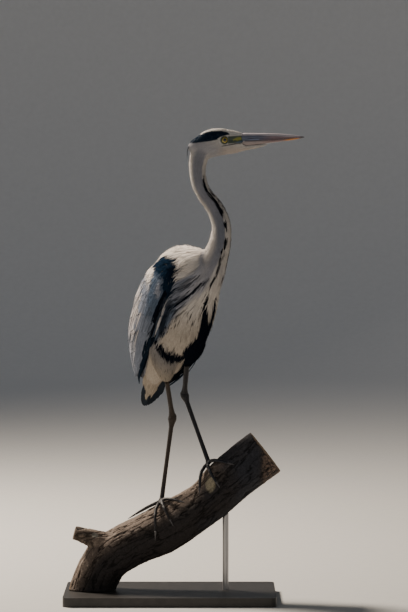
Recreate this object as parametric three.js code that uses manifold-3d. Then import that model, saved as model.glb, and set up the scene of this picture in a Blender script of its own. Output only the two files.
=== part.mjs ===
// A grey heron (Ardea cinerea), life size, standing on a sloping cut length of branch
// that a plain museum stand holds up. Millimetres, +Z up, +X the way the bill points.
// The origin is the centre of the stand's underside.
import * as THREE from 'three';
import { mergeVertices } from 'three/addons/utils/BufferGeometryUtils.js';
import Module from 'manifold-3d';

const wasm = await Module();
wasm.setup();

// ---------------------------------------------------------------- driving dimensions
const GAP = 0.3; // air left between neighbouring pieces
const DEG = Math.PI / 180;

const STAND = { length: 410, depth: 250, thick: 18, corner: 12, rodRadius: 6, rodX: 108, rodReach: 260 };

// The trunk's own frame: x forward along the spine, y to the bird's left, z out of its back.
// The bird leans over to its left, so its wings sit rolled about the spine.
const TRUNK = { centre: [3, 20, 535], heading: -64 * DEG, pitch: 48 * DEG, roll: 15 * DEG };

const EYE = { x: 106, y: -94, z: 895, radius: 6.6, apart: 29.5, back: 1.2, below: 2.6 };
const BILL = { base: 30, tip: 152, gapeHeight: -4.6, tipHeight: 3.4 };
const WING = { skin: 7, inside: 3, outside: 130, rightLift: 7, leftLift: -2, rightHang: -7, leftHang: 26 };
const LEG = { tibia: 4.6, ankle: 6.9, tarsus: 4.0, foot: 4.6 };
const TOE = { root: 3.9, end: 2.5, claw: 0.5, clawShare: 0.2 };
const PERCH = { radius: 45, cutHeight: STAND.thick + GAP };

const COLOURS = {
  slate: [0x6f7f92, 0.8], pale: [0xb9b6b4, 0.85], white: [0xe9e6e0, 0.85], black: [0x1b2027, 0.7],
  flight: [0x2f3640, 0.6], horn: [0x9aa0a8, 0.45], iris: [0xe3c02a, 0.15], shin: [0x5b5047, 0.6],
  claw: [0x4c4a4a, 0.4], bark: [0x6b5c50, 0.95], base: [0x2c2c2e, 0.55], steel: [0x8d9196, 0.35],
};

// ---------------------------------------------------------------- making and joining solids
const trunkFrame = new THREE.Object3D();
trunkFrame.position.set(...TRUNK.centre);
trunkFrame.rotation.set(0, -TRUNK.pitch, TRUNK.heading, 'ZYX');
trunkFrame.updateMatrixWorld();

const headFrame = new THREE.Object3D();
headFrame.position.set(EYE.x, EYE.y, EYE.z);
headFrame.updateMatrixWorld();

// A three.js geometry becomes a solid that can be joined and cut.
function solid(geometry, frame) {
  const bare = geometry.clone();
  bare.deleteAttribute('normal');
  bare.deleteAttribute('uv');
  if (frame) bare.applyMatrix4(frame.matrixWorld);
  const merged = mergeVertices(bare, 1e-4);
  const mesh = new wasm.Mesh({
    numProp: 3,
    vertProperties: Float32Array.from(merged.attributes.position.array),
    triVerts: Uint32Array.from(merged.index.array),
  });
  return new wasm.Manifold(mesh);
}

// The finished solid goes back to a named mesh.
function piece(name, body, [colour, roughness], metalness = 0) {
  const { vertProperties, triVerts } = body.getMesh();
  const geometry = new THREE.BufferGeometry();
  geometry.setAttribute('position', new THREE.BufferAttribute(Float32Array.from(vertProperties), 3));
  geometry.setIndex(new THREE.BufferAttribute(Uint32Array.from(triVerts), 1));
  geometry.computeVertexNormals();
  const mesh = new THREE.Mesh(geometry, new THREE.MeshStandardMaterial({ color: colour, roughness, metalness }));
  mesh.name = name;
  return mesh;
}

// A smooth body through sections. Each row is a section's centre and its half sizes: wide to
// both sides, over and under the line. A closed cylinder is bent along the rows' curve.
function loft(rows, options) {
  const { across, sides = 16, steps = 12, span = [0, 1], grow = 0, relief = () => 0, frame } = options;
  const line = new THREE.CatmullRomCurve3(rows.map((row) => new THREE.Vector3(...row.at)));
  const sizes = new THREE.CatmullRomCurve3(
    rows.map((row) => new THREE.Vector3(row.wide, row.over ?? row.wide, row.under ?? row.over ?? row.wide)),
  );
  const geometry = new THREE.CylinderGeometry(1, 1, 1, sides, steps);
  const spots = geometry.attributes.position;
  for (let i = 0; i < spots.count; i += 1) {
    const share = spots.getY(i) + 0.5;
    const t = THREE.MathUtils.lerp(span[0], span[1], share);
    const tangent = line.getTangent(t);
    const side = new THREE.Vector3(...across).addScaledVector(tangent, -tangent.dot(new THREE.Vector3(...across)));
    side.normalize();
    const up = new THREE.Vector3().crossVectors(tangent, side);
    const size = sizes.getPoint(t);
    const x = spots.getX(i);
    const z = spots.getZ(i);
    const lift = Math.hypot(x, z) > 0.5 ? grow + relief(t, Math.atan2(x, -z)) : 0;
    const spot = line.getPoint(t);
    spot.addScaledVector(side, x * (size.x + lift));
    spot.addScaledVector(up, -z * ((z < 0 ? size.y : size.z) + lift));
    spot.addScaledVector(tangent, (share > 0.999 ? grow : 0) - (share < 0.001 ? grow : 0));
    spots.setXYZ(i, spot.x, spot.y, spot.z);
  }
  return solid(geometry, frame);
}

// A slab with a smooth outline in the trunk's rolled x-z plane, from y = near to y = far.
function slab(points, near, far) {
  const outline = new THREE.SplineCurve(points.map(([x, z]) => new THREE.Vector2(x, z))).getPoints(points.length * 2);
  const shape = new THREE.Shape(outline);
  const geometry = new THREE.ExtrudeGeometry(shape, { depth: Math.abs(far - near), bevelEnabled: false });
  geometry.rotateX(90 * DEG);
  geometry.translate(0, Math.max(near, far), 0);
  geometry.rotateX(TRUNK.roll);
  return solid(geometry, trunkFrame);
}

function joined(bodies) {
  return bodies.reduce((sum, body) => sum.add(body));
}

// What is left of a body after the cuts, without loose slivers.
function cut(body, tools) {
  const parts = tools.reduce((rest, tool) => rest.subtract(tool), body).decompose();
  return parts.sort((a, b) => b.volume() - a.volume())[0];
}

// ---------------------------------------------------------------- trunk
const TRUNK_ROWS = [
  { at: [-152, 0, -2], wide: 17, over: 16, under: 17 }, // rump
  { at: [-115, 0, 0], wide: 34, over: 35, under: 39 }, // vent
  { at: [-75, 0, 0], wide: 51, over: 51, under: 60 }, // flank
  { at: [-30, 0, 0], wide: 64, over: 67, under: 77 }, // belly
  { at: [25, 0, 0], wide: 70, over: 79, under: 87 }, // keel
  { at: [80, 0, 0], wide: 69, over: 95, under: 77 }, // chest
  { at: [125, 3, 0], wide: 62, over: 85, under: 63 }, // shoulders
  { at: [160, 10, -6], wide: 42, over: 46, under: 44 }, // collar
  { at: [184, 19, -14], wide: 26, over: 23, under: 27 }, // neck base
];

function trunk(grow = 0) {
  return loft(TRUNK_ROWS, { across: [0, 1, 0], sides: 24, steps: 15, grow, frame: trunkFrame });
}

// ---------------------------------------------------------------- wings
// Both wings are folded shells that lie on the trunk. The right one stands off a little more.
const WING_ROWS = [
  { x: -172, wide: 17, over: 8, under: 10 }, // tips of the primaries
  { x: -150, wide: 30, over: 21, under: 26 },
  { x: -115, wide: 45, over: 38, under: 48 },
  { x: -75, wide: 60, over: 56, under: 67 },
  { x: -30, wide: 72, over: 72, under: 79 },
  { x: 25, wide: 78, over: 84, under: 89 },
  { x: 80, wide: 77, over: 101, under: 80 },
  { x: 125, wide: 70, over: 92, under: 65 },
  { x: 165, wide: 38, over: 48, under: 38 }, // front of the wrist
];
const WING_OUTLINE = [
  [153, 14], [149, 36], [126, 58], [60, 65], [-10, 65], [-75, 54], [-122, 34], [-146, 12],
  [-118, -6], [-60, -19], [5, -25], [60, -25], [112, -20], [142, -8], [153, 14],
];

// The flight feathers below the folded wing. The left ones hang lower and show under the vent.
function primaryOutline(hang) {
  return [
    [-134, 18], [-152, 15], [-168, 0], [-150, -11 - hang], [-100, -25 - hang], [-45, -33 - hang], [0, -36],
    [20, -31], [0, -18], [-60, -12], [-118, 2], [-134, 18],
  ];
}

function wingSkin(side, grow) {
  const standOff = side < 0 ? WING.rightLift : WING.leftLift;
  const rows = WING_ROWS.map(({ x, wide, over, under }) => ({
    at: [x, 0, 0],
    wide: wide + standOff * THREE.MathUtils.smoothstep(x, -172, -60),
    over,
    under,
  }));
  return loft(rows, { across: [0, 1, 0], sides: 20, steps: 12, grow, frame: trunkFrame });
}

function wingPart(side, outline, inset) {
  const shield = wingSkin(side, -inset).intersect(slab(outline, side * WING.inside, side * WING.outside));
  return cut(shield, [wingSkin(side, -WING.skin - inset), trunk(GAP)]);
}

function grownOutline(outline, grow) {
  const middle = outline.reduce(([x, z], [px, pz]) => [x + px / outline.length, z + pz / outline.length], [0, 0]);
  return outline.map(([x, z]) => {
    const reach = Math.hypot(x - middle[0], z - middle[1]);
    return [x + (grow * (x - middle[0])) / reach, z + (grow * (z - middle[1])) / reach];
  });
}

function wing(side) {
  return wingPart(side, WING_OUTLINE, 0);
}

function primaries(side) {
  const clear = slab(grownOutline(WING_OUTLINE, 2 * GAP), side * WING.inside / 2, side * WING.outside);
  return cut(wingPart(side, primaryOutline(side < 0 ? WING.rightHang : WING.leftHang), 1.5), [clear]);
}

// ---------------------------------------------------------------- tail
const TAIL_ROWS = [
  { at: [-112, 0, -6], wide: 17, over: 7, under: 7 },
  { at: [-148, 3, -7], wide: 19, over: 4.5, under: 4.5 },
  { at: [-176, 9, -8], wide: 26, over: 3.2, under: 3.2 },
  { at: [-192, 13, -8], wide: 19, over: 2.2, under: 2.2 },
  { at: [-202, 15, -8], wide: 8, over: 1.2, under: 1.2 },
];

function tail(grow = 0) {
  return loft(TAIL_ROWS, { across: [0, -1, 0], sides: 12, steps: 7, grow, frame: trunkFrame });
}

// ---------------------------------------------------------------- neck
const NECK_ROWS = [
  { at: [40, -66, 573], wide: 10, over: 10, under: 10 }, // hem of the breast plumes
  { at: [58, -73, 604], wide: 33, over: 36, under: 33 },
  { at: [77, -85, 643], wide: 29, over: 32, under: 31 },
  { at: [91.5, -93, 677], wide: 22, over: 24, under: 25 },
  { at: [98, -97, 700], wide: 19.5, over: 21, under: 22 },
  { at: [100, -99, 722], wide: 17.5, over: 19.5, under: 19.5 },
  { at: [95, -99, 746], wide: 16.5, over: 18.5, under: 18.5 },
  { at: [84, -98, 768], wide: 15.5, over: 17.5, under: 17.5 }, // lower bend
  { at: [68, -97, 788], wide: 14.5, over: 16, under: 16 },
  { at: [57, -96, 811], wide: 14, over: 16, under: 16 }, // upper bend
  { at: [53.5, -95, 836], wide: 15, over: 16.5, under: 16.5 },
  { at: [56, -94, 858], wide: 17, over: 19, under: 19 },
  { at: [62, -94, 876], wide: 17, over: 20, under: 18 }, // inside the head
];
const NECK_SPLITS = [0, 0.42, 0.69, 1];

function neckLength(index, tools) {
  const length = 330;
  const trim = GAP / 2 / length;
  const span = [NECK_SPLITS[index] + trim, NECK_SPLITS[index + 1] - trim];
  return cut(loft(NECK_ROWS, { across: [0, -1, 0], sides: 16, steps: 7, span }), tools);
}

// ---------------------------------------------------------------- head, bill and eyes
// Head sizes are measured from a place just above and ahead of the middle between the eyes.
const HEAD_ROWS = [
  { at: [-68.5, 0, -21], wide: 7, over: 7, under: 10 }, // nape
  { at: [-61, 0, -18], wide: 14, over: 15, under: 20 },
  { at: [-47, 0, -14], wide: 18, over: 20, under: 25 },
  { at: [-30, 0, -9], wide: 19.5, over: 27, under: 28 }, // back of the crown
  { at: [-10, 0, -6], wide: 18, over: 27.5, under: 26 },
  { at: [10, 0, -5], wide: 15, over: 23, under: 24.5 }, // brow
  { at: [26, 0, -4.6], wide: 11.5, over: 19, under: 21.5 },
  { at: [37, 0, -4.6], wide: 8.5, over: 16, under: 18 }, // foot of the bill
];
const CHIN_ROWS = [
  { at: [20, 0, -15], wide: 9, over: 6, under: 10 },
  { at: [45, 0, -13.5], wide: 6, over: 4, under: 8 },
  { at: [68, 0, -11.5], wide: 4, over: 3, under: 5.5 },
  { at: [83, 0, -9.6], wide: 1.5, over: 1.2, under: 1.4 },
];

// The line where the mandibles meet, from the gape to the tip.
function gape(x) {
  const share = (x - BILL.base) / (BILL.tip - BILL.base);
  return THREE.MathUtils.lerp(BILL.gapeHeight, BILL.tipHeight, share ** 1.6);
}

function mandible(heights, widths, grow = 0) {
  const rows = heights.map((height, i) => {
    const x = THREE.MathUtils.lerp(BILL.base, BILL.tip, i / (heights.length - 1));
    const flat = 0.2;
    const seam = gape(x) + Math.sign(height) * GAP / 2;
    const lying = { at: [x, 0, seam + Math.sign(height) * flat], wide: widths[i] };
    return height > 0
      ? { ...lying, over: Math.abs(height) - flat, under: flat }
      : { ...lying, over: flat, under: Math.abs(height) - flat };
  });
  return loft(rows, { across: [0, 1, 0], sides: 12, steps: 7, grow, frame: headFrame });
}

const UPPER = { heights: [16.5, 15, 13.8, 11.2, 7.2, 0.9], widths: [8.6, 7.6, 6.3, 4.9, 3.2, 0.8] };
const LOWER = { heights: [-11, -8.2, -5.8, -4.4, -3.2, -0.8], widths: [8.2, 7.2, 5.9, 4.5, 2.9, 0.7] };

function upperBill(grow) {
  return mandible(UPPER.heights, UPPER.widths, grow);
}

function lowerBill(grow) {
  return mandible(LOWER.heights, LOWER.widths, grow);
}

function eye(side, grow = 0) {
  const ball = new THREE.SphereGeometry(EYE.radius + grow, 12, 8);
  ball.translate(-EYE.back, (side * EYE.apart) / 2 - side * EYE.radius * 0.55, -EYE.below);
  return solid(ball, headFrame);
}

function skull(grow = 0) {
  const cranium = loft(HEAD_ROWS, { across: [0, 1, 0], sides: 18, steps: 13, grow, frame: headFrame });
  const chin = loft(CHIN_ROWS, { across: [0, 1, 0], sides: 10, steps: 5, grow, frame: headFrame });
  return cranium.add(chin);
}

function head() {
  return cut(skull(), [upperBill(GAP), lowerBill(GAP), eye(1, GAP), eye(-1, GAP)]);
}

// Two short black plumes hang as one lock from the nape.
function crest() {
  const rows = [
    { at: [-63, -3, -12], wide: 2.6, over: 1.8, under: 1.8 },
    { at: [-71, -3, -21], wide: 2.4, over: 1.5, under: 1.5 },
    { at: [-74.5, -2.5, -33], wide: 1.8, over: 1, under: 1 },
    { at: [-75.5, -2, -44], wide: 0.6, over: 0.4, under: 0.4 },
  ];
  return loft(rows, { across: [0, 1, 0], sides: 6, steps: 6, frame: headFrame });
}

// ---------------------------------------------------------------- perch and stand
const PERCH_ROWS = [
  { at: [-158, 0, -4], wide: 42 }, // foot of the limb, cut flat on the base
  { at: [-150, 0, 32], wide: 45 },
  { at: [-126, 0, 75], wide: 46 }, // bend
  { at: [-66, 0, 112], wide: 46 },
  { at: [-11, 0, 137], wide: 48.5 },
  { at: [66, 0, 187], wide: 44 },
  { at: [110, 0, 229], wide: 48 },
  { at: [186, 0, 289], wide: 49 }, // upper cut end
];
const STUB_ROWS = [
  { at: [-108, -4, 96], wide: 36 },
  { at: [-146, -8, 116], wide: 22 },
  { at: [-170, -10, 126], wide: 17 },
  { at: [-188, -11, 131], wide: 15 },
];

// Long low ridges that wind round the limb.
function bark(t, angle) {
  return 1.5 * Math.sin(5 * angle + 9 * t) + 1.1 * Math.sin(3 * angle - 23 * t);
}

function perch(grow = 0) {
  const limb = loft(PERCH_ROWS, { across: [0, -1, 0], sides: 18, steps: 18, grow, relief: bark });
  const stub = loft(STUB_ROWS, { across: [0, -1, 0], sides: 12, steps: 6, grow });
  const below = new THREE.BoxGeometry(600, 400, 200);
  below.translate(0, 0, PERCH.cutHeight - 100 - grow);
  return cut(joined([limb, stub]), [solid(below)]);
}

// A point over the limb: t along it, angle from its top towards the viewer's side, height above it.
function onPerch(t, angle, height) {
  const line = new THREE.CatmullRomCurve3(PERCH_ROWS.map((row) => new THREE.Vector3(...row.at)));
  const tangent = line.getTangent(t);
  const side = new THREE.Vector3(0, -1, 0);
  const up = new THREE.Vector3().crossVectors(side, tangent).normalize();
  const girth = new THREE.CatmullRomCurve3(PERCH_ROWS.map((row) => new THREE.Vector3(row.wide, 0, 0)));
  const reach = girth.getPoint(t).x + height;
  return line.getPoint(t).addScaledVector(up, reach * Math.cos(angle)).addScaledVector(side, reach * Math.sin(angle));
}

function standBase() {
  const { length, depth, thick, corner } = STAND;
  const shape = new THREE.Shape();
  const [x, y] = [length / 2, depth / 2];
  shape.moveTo(-x + corner, -y);
  shape.lineTo(x - corner, -y).absarc(x - corner, -y + corner, corner, -90 * DEG, 0);
  shape.lineTo(x, y - corner).absarc(x - corner, y - corner, corner, 0, 90 * DEG);
  shape.lineTo(-x + corner, y).absarc(-x + corner, y - corner, corner, 90 * DEG, 180 * DEG);
  shape.lineTo(-x, -y + corner).absarc(-x + corner, -y + corner, corner, 180 * DEG, 270 * DEG);
  return solid(new THREE.ExtrudeGeometry(shape, { depth: thick, bevelEnabled: false, curveSegments: 4 }));
}

function standRod() {
  const { rodRadius, rodX, rodReach } = STAND;
  const rod = new THREE.CylinderGeometry(rodRadius, rodRadius, rodReach, 20);
  rod.rotateX(90 * DEG);
  rod.translate(rodX, 0, STAND.thick + GAP + rodReach / 2);
  const parts = solid(rod).subtract(perch(GAP)).decompose();
  return parts.sort((a, b) => a.boundingBox().min[2] - b.boundingBox().min[2])[0];
}

// ---------------------------------------------------------------- legs and feet
const LEGS = {
  right: {
    hip: [-14, -14, 500], feathersEnd: [-6, -7, 424], ankle: [4.5, 16, 354], sole: 0.612, lean: 0.12,
    toes: [
      { name: 'hind', to: [0.44, -0.1], bend: 2 },
      { name: 'outer', to: [0.52, 1.72], bend: 6 },
      { name: 'middle', to: [0.605, 1.55], bend: 7 },
      { name: 'inner', to: [0.67, 0.95], bend: 5 },
    ],
  },
  left: {
    hip: [42, 9, 506], feathersEnd: [32.5, 9, 456], ankle: [27.5, 38, 397], sole: 0.856, lean: 0.1,
    toes: [
      { name: 'hind', to: [0.82, -1.2], bend: 3 },
      { name: 'inner', to: [0.73, 1.05], bend: 6 },
      { name: 'middle', to: [0.825, 1.5], bend: 7 },
      { name: 'outer', to: [0.91, 1.15], bend: 5 },
    ],
  },
};

function mix(from, to, share) {
  return from.map((value, i) => THREE.MathUtils.lerp(value, to[i], share));
}

function footCentre(leg) {
  return onPerch(leg.sole, leg.lean, LEG.foot + 1).toArray();
}

function thigh(leg, grow = 0) {
  const rows = [
    { at: leg.hip, wide: 31 },
    { at: mix(leg.hip, leg.feathersEnd, 0.5), wide: 26 },
    { at: mix(leg.hip, leg.feathersEnd, 0.85), wide: 15 },
    { at: leg.feathersEnd, wide: 6.4 },
  ];
  return loft(rows, { across: [0, -1, 0], sides: 12, steps: 6, grow });
}

function tarsus(leg, grow = 0) {
  const foot = footCentre(leg);
  const rows = [
    { at: mix(leg.ankle, foot, -0.035), wide: LEG.ankle * 0.7 },
    { at: mix(leg.ankle, foot, 0.03), wide: LEG.ankle },
    { at: mix(leg.ankle, foot, 0.12), wide: LEG.tarsus * 1.12 },
    { at: mix(leg.ankle, foot, 0.55), wide: LEG.tarsus },
    { at: mix(leg.ankle, foot, 0.985), wide: LEG.foot },
  ];
  return loft(rows, { across: [0, -1, 0], sides: 10, steps: 8, grow });
}

function tibia(leg) {
  const rows = [
    { at: mix(leg.feathersEnd, leg.ankle, 0.01), wide: LEG.tibia },
    { at: mix(leg.feathersEnd, leg.ankle, 0.7), wide: LEG.tibia },
    { at: mix(leg.feathersEnd, leg.ankle, 1), wide: LEG.ankle * 0.85 },
  ];
  return cut(loft(rows, { across: [0, -1, 0], sides: 10, steps: 4 }), [tarsus(leg, GAP), thigh(leg, GAP), trunk(GAP)]);
}

// A toe arches off the sole, lies down on the bark and ends in a claw.
function toePath(leg, { to, bend }) {
  const stops = [0, 0.25, 0.5, 0.75, 1];
  return stops.map((share) => {
    const t = THREE.MathUtils.lerp(leg.sole, to[0], share);
    const angle = THREE.MathUtils.lerp(leg.lean, to[1], share);
    const knuckle = bend * Math.sin(Math.PI * share) * (1 - share);
    return {
      at: onPerch(t, angle, THREE.MathUtils.lerp(TOE.root, 1, share ** 3) + knuckle).toArray(),
      wide: THREE.MathUtils.lerp(TOE.root, TOE.end, share),
    };
  });
}

function toe(leg, spec, span, grow = 0) {
  const rows = toePath(leg, spec);
  rows[4].wide = TOE.claw;
  rows[3].wide = TOE.end * 1.05;
  return loft(rows, { across: [0.35, -0.1, 0.93], sides: 6, steps: span[0] > 0 ? 2 : 5, span, grow });
}

function foot(leg) {
  const ball = new THREE.SphereGeometry(LEG.foot * 1.25, 10, 6);
  ball.translate(...footCentre(leg));
  const toes = leg.toes.map((spec) => toe(leg, spec, [0, 1 - TOE.clawShare]));
  return cut(joined([solid(ball), ...toes]), [perch(GAP), tarsus(leg, GAP)]);
}

function claw(leg, spec) {
  const trim = 0.006;
  return cut(toe(leg, spec, [1 - TOE.clawShare + trim, 1]), [perch(GAP)]);
}

// ---------------------------------------------------------------- the whole bird
const heron = new THREE.Group();

const neckPieces = [
  ['neck_lower', neckLength(0, [trunk(GAP)])],
  ['neck_middle', neckLength(1, [])],
  ['neck_upper', neckLength(2, [skull(GAP)])],
];
neckPieces.forEach(([name, body]) => heron.add(piece(name, body, COLOURS.pale)));

heron.add(piece('head', head(), COLOURS.white));
heron.add(piece('crest', cut(crest(), [skull(GAP)]), COLOURS.black));
heron.add(piece('bill_upper', upperBill(0), COLOURS.horn));
heron.add(piece('bill_lower', lowerBill(0), COLOURS.horn));
heron.add(piece('eye_left', eye(1), COLOURS.iris));
heron.add(piece('eye_right', eye(-1), COLOURS.iris));

const legCutters = Object.values(LEGS).map((leg) => thigh(leg, GAP));
const lowNeck = loft(NECK_ROWS, { across: [0, -1, 0], sides: 16, steps: 8, span: [0, NECK_SPLITS[1]], grow: GAP });
for (const [name, side] of [['right', -1], ['left', 1]]) {
  heron.add(piece(`wing_${name}`, cut(wing(side), [lowNeck, tail(GAP), ...legCutters]), COLOURS.slate));
  heron.add(piece(`primaries_${name}`, cut(primaries(side), [tail(GAP), ...legCutters]), COLOURS.flight));
}
heron.add(piece('trunk', trunk(), COLOURS.pale));
heron.add(piece('tail', cut(tail(), [trunk(GAP)]), COLOURS.flight));

for (const [name, leg] of Object.entries(LEGS)) {
  heron.add(piece(`thigh_${name}`, cut(thigh(leg), [trunk(GAP)]), COLOURS.white));
  heron.add(piece(`tibia_${name}`, tibia(leg), COLOURS.shin));
  heron.add(piece(`tarsus_${name}`, tarsus(leg), COLOURS.shin));
  heron.add(piece(`foot_${name}`, foot(leg), COLOURS.shin));
  for (const spec of leg.toes) {
    heron.add(piece(`claw_${name}_${spec.name}`, claw(leg, spec), COLOURS.claw));
  }
}

heron.add(piece('perch_branch', perch(), COLOURS.bark));
heron.add(piece('stand_base', standBase(), COLOURS.base));
heron.add(piece('stand_rod', standRod(), COLOURS.steel, 0.9));

export default heron;
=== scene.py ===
"""A life-size grey heron on a cut branch and a display stand. Lengths in this script are in millimetres."""
import math

import bmesh
import bpy
import numpy as np
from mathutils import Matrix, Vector
from mathutils.bvhtree import BVHTree


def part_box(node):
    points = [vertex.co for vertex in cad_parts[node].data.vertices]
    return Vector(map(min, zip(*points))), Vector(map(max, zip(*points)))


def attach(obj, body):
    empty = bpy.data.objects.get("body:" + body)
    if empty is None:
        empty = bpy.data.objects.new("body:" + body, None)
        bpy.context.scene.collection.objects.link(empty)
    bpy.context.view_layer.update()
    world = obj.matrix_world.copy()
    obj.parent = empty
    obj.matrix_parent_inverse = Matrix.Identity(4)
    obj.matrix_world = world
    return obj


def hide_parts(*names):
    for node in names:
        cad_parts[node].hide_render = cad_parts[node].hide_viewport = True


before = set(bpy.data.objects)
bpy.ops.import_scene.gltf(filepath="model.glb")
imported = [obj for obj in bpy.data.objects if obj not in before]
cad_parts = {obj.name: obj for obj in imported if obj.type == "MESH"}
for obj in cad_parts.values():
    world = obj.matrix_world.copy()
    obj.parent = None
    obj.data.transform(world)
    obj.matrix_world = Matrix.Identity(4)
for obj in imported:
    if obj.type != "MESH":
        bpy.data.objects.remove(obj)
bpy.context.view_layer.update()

MM = 0.001
SKIN_VOXEL, BARE_VOXEL, BILL_VOXEL, CLAW_VOXEL, BARK_VOXEL = 2.4, 0.75, 0.62, 0.36, 1.7
UV_PATCH = 0.003  # the side of a tuft's patch on the unwrap


def unit(vectors):
    length = np.linalg.norm(vectors, axis=-1, keepdims=True)
    return vectors / np.maximum(length, 1e-9)


# The body's own directions: forward along the spine, up through the back, and out through the right side.
HEADING, PITCH, ROLL = math.radians(-64), math.radians(48), math.radians(15)
BODY = np.array((3.0, 20.0, 535.0))
FORWARD = np.array(
    (math.cos(PITCH) * math.cos(HEADING), math.cos(PITCH) * math.sin(HEADING), math.sin(PITCH))
)
LEVEL_UP = np.array(
    (-math.sin(PITCH) * math.cos(HEADING), -math.sin(PITCH) * math.sin(HEADING), math.cos(PITCH))
)
LEVEL_RIGHT = np.array((math.sin(HEADING), -math.cos(HEADING), 0.0))
RIGHT = math.cos(ROLL) * LEVEL_RIGHT - math.sin(ROLL) * LEVEL_UP
UP = math.sin(ROLL) * LEVEL_RIGHT + math.cos(ROLL) * LEVEL_UP
KEEL_TURN = -11.0  # degrees that the line of the keel is turned from straight below the spine
GIRTH = 72.0  # radius that turns an angle round the body into a length over its skin

EYES = np.array((106.0, -94.0, 895.0))  # the head's own origin, just above and ahead of the eyes
EYE_BACK, EYE_BELOW = 1.2, 2.6  # from there to the middle of an eye
NECK = np.array(
    (
        (40, -66, 573), (58, -73, 604), (77, -85, 643), (91.5, -93, 677), (98, -97, 700), (100, -99, 722),
        (95, -99, 746), (84, -98, 768), (68, -97, 788), (57, -96, 811), (53.5, -95, 836), (56, -94, 858),
        (62, -94, 876),
    ),
    dtype=float,
)

# Linear colours of the plumage and the bare parts.
WHITE = (0.74, 0.70, 0.65)
CHALK = (0.60, 0.56, 0.52)
BUFF = (0.38, 0.33, 0.27)
MANTLE = (0.70, 0.64, 0.58)
LILAC = (0.36, 0.36, 0.40)
ASH = (0.17, 0.19, 0.235)
SLATE = (0.085, 0.115, 0.165)
INK = (0.004, 0.006, 0.012)
NAVY = (0.008, 0.019, 0.038)
FLIGHT = (0.006, 0.011, 0.019)
SCAPULAR = (0.60, 0.56, 0.55)


# ---------------------------------------------------------------- small tools
def smooth(value, low, high):
    """Eases from 0 to 1 as the value goes from low to high."""
    share = np.clip((value - low) / (high - low), 0, 1)
    return share * share * (3 - 2 * share)


def plain(colour, count):
    """The same colour count times over."""
    return np.tile(np.array(colour), (count, 1))


def mixed(colour, other, share):
    """Colours moved towards another by a share of the way at each point."""
    return colour + (np.asarray(other) - colour) * np.asarray(share)[..., None]


def lattice(points, size, seed):
    """Smooth random numbers from 0 to 1 over space, with bumps about size across."""
    scaled = points / size
    cell = np.floor(scaled).astype(np.int64)
    part = scaled - cell
    part = part * part * (3 - 2 * part)
    total = np.zeros(len(points))
    for corner in range(8):
        step = np.array((corner & 1, corner >> 1 & 1, corner >> 2 & 1))
        at = cell + step
        mixed_bits = at[:, 0] * 73856093 ^ at[:, 1] * 19349663 ^ at[:, 2] * 83492791 ^ seed * 2654435761
        mixed_bits = (mixed_bits ^ (mixed_bits >> 13)) * 1274126177 & 0x7FFFFFFF
        mixed_bits = (mixed_bits ^ (mixed_bits >> 16)) & 0xFFFF
        weight = np.prod(np.where(step, part, 1 - part), axis=1)
        total += weight * mixed_bits / 0xFFFF
    return total


def clouds(points, size, seed, octaves=3):
    """Random numbers from 0 to 1 with bumps of several sizes, the largest about size across."""
    total = np.zeros(len(points))
    for octave in range(octaves):
        total += lattice(points, size / 2**octave, seed + octave) / 2 ** (octave + 1)
    return total / (1 - 0.5**octaves)


def line_mark(u, v, stops, soft):
    """From 0 to 1, how far a point (u, v) is inside a painted line of (u, v, half width) stops."""
    best = np.full(u.shape, 1e9)
    half = np.zeros(u.shape)
    for (u0, v0, w0), (u1, v1, w1) in zip(stops, stops[1:]):
        du, dv = u1 - u0, v1 - v0
        share = np.clip(((u - u0) * du + (v - v0) * dv) / (du * du + dv * dv), 0, 1)
        away = np.hypot(u - u0 - share * du, v - v0 - share * dv)
        half = np.where(away < best, w0 + share * (w1 - w0), half)
        best = np.minimum(best, away)
    return 1 - smooth(best - half, -soft / 2, soft / 2)


def stops_at(value, stops):
    """The height of a line of (value, height) stops, given in any order."""
    ordered = sorted(stops)
    return np.interp(value, [stop[0] for stop in ordered], [stop[1] for stop in ordered])


def new_object(name, mesh):
    piece = bpy.data.objects.new(name, mesh)
    bpy.context.scene.collection.objects.link(piece)
    return piece


def new_mesh(name, points, faces):
    """A mesh in metres from points in millimetres and faces that all have as many corners."""
    mesh = bpy.data.meshes.new(name)
    faces = np.asarray(faces, dtype=np.int32)
    corners = faces.shape[1]
    mesh.vertices.add(len(points))
    mesh.vertices.foreach_set("co", (np.asarray(points) * MM).astype(np.float32).ravel())
    mesh.loops.add(faces.size)
    mesh.loops.foreach_set("vertex_index", faces.ravel())
    mesh.polygons.add(len(faces))
    mesh.polygons.foreach_set("loop_start", np.arange(0, faces.size, corners, dtype=np.int32))
    mesh.update(calc_edges=True)
    mesh.polygons.foreach_set("use_smooth", np.ones(len(faces), dtype=bool))
    mesh.validate()
    return mesh


def set_tint(mesh, colours):
    layer = mesh.attributes.new("tint", "FLOAT_COLOR", "POINT")
    rgba = np.ones((len(mesh.vertices), 4), dtype=np.float32)
    rgba[:, :3] = np.clip(colours, 0, 1)
    layer.data.foreach_set("color", rgba.ravel())


def set_vector(mesh, name, values):
    layer = mesh.attributes.new(name, "FLOAT_VECTOR", "POINT")
    layer.data.foreach_set("vector", np.asarray(values, dtype=np.float32).ravel())


def set_uv(mesh, corner_uv):
    layer = mesh.uv_layers.new(name="OFBake")
    layer.data.foreach_set("uv", np.asarray(corner_uv, dtype=np.float32).ravel())


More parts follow.
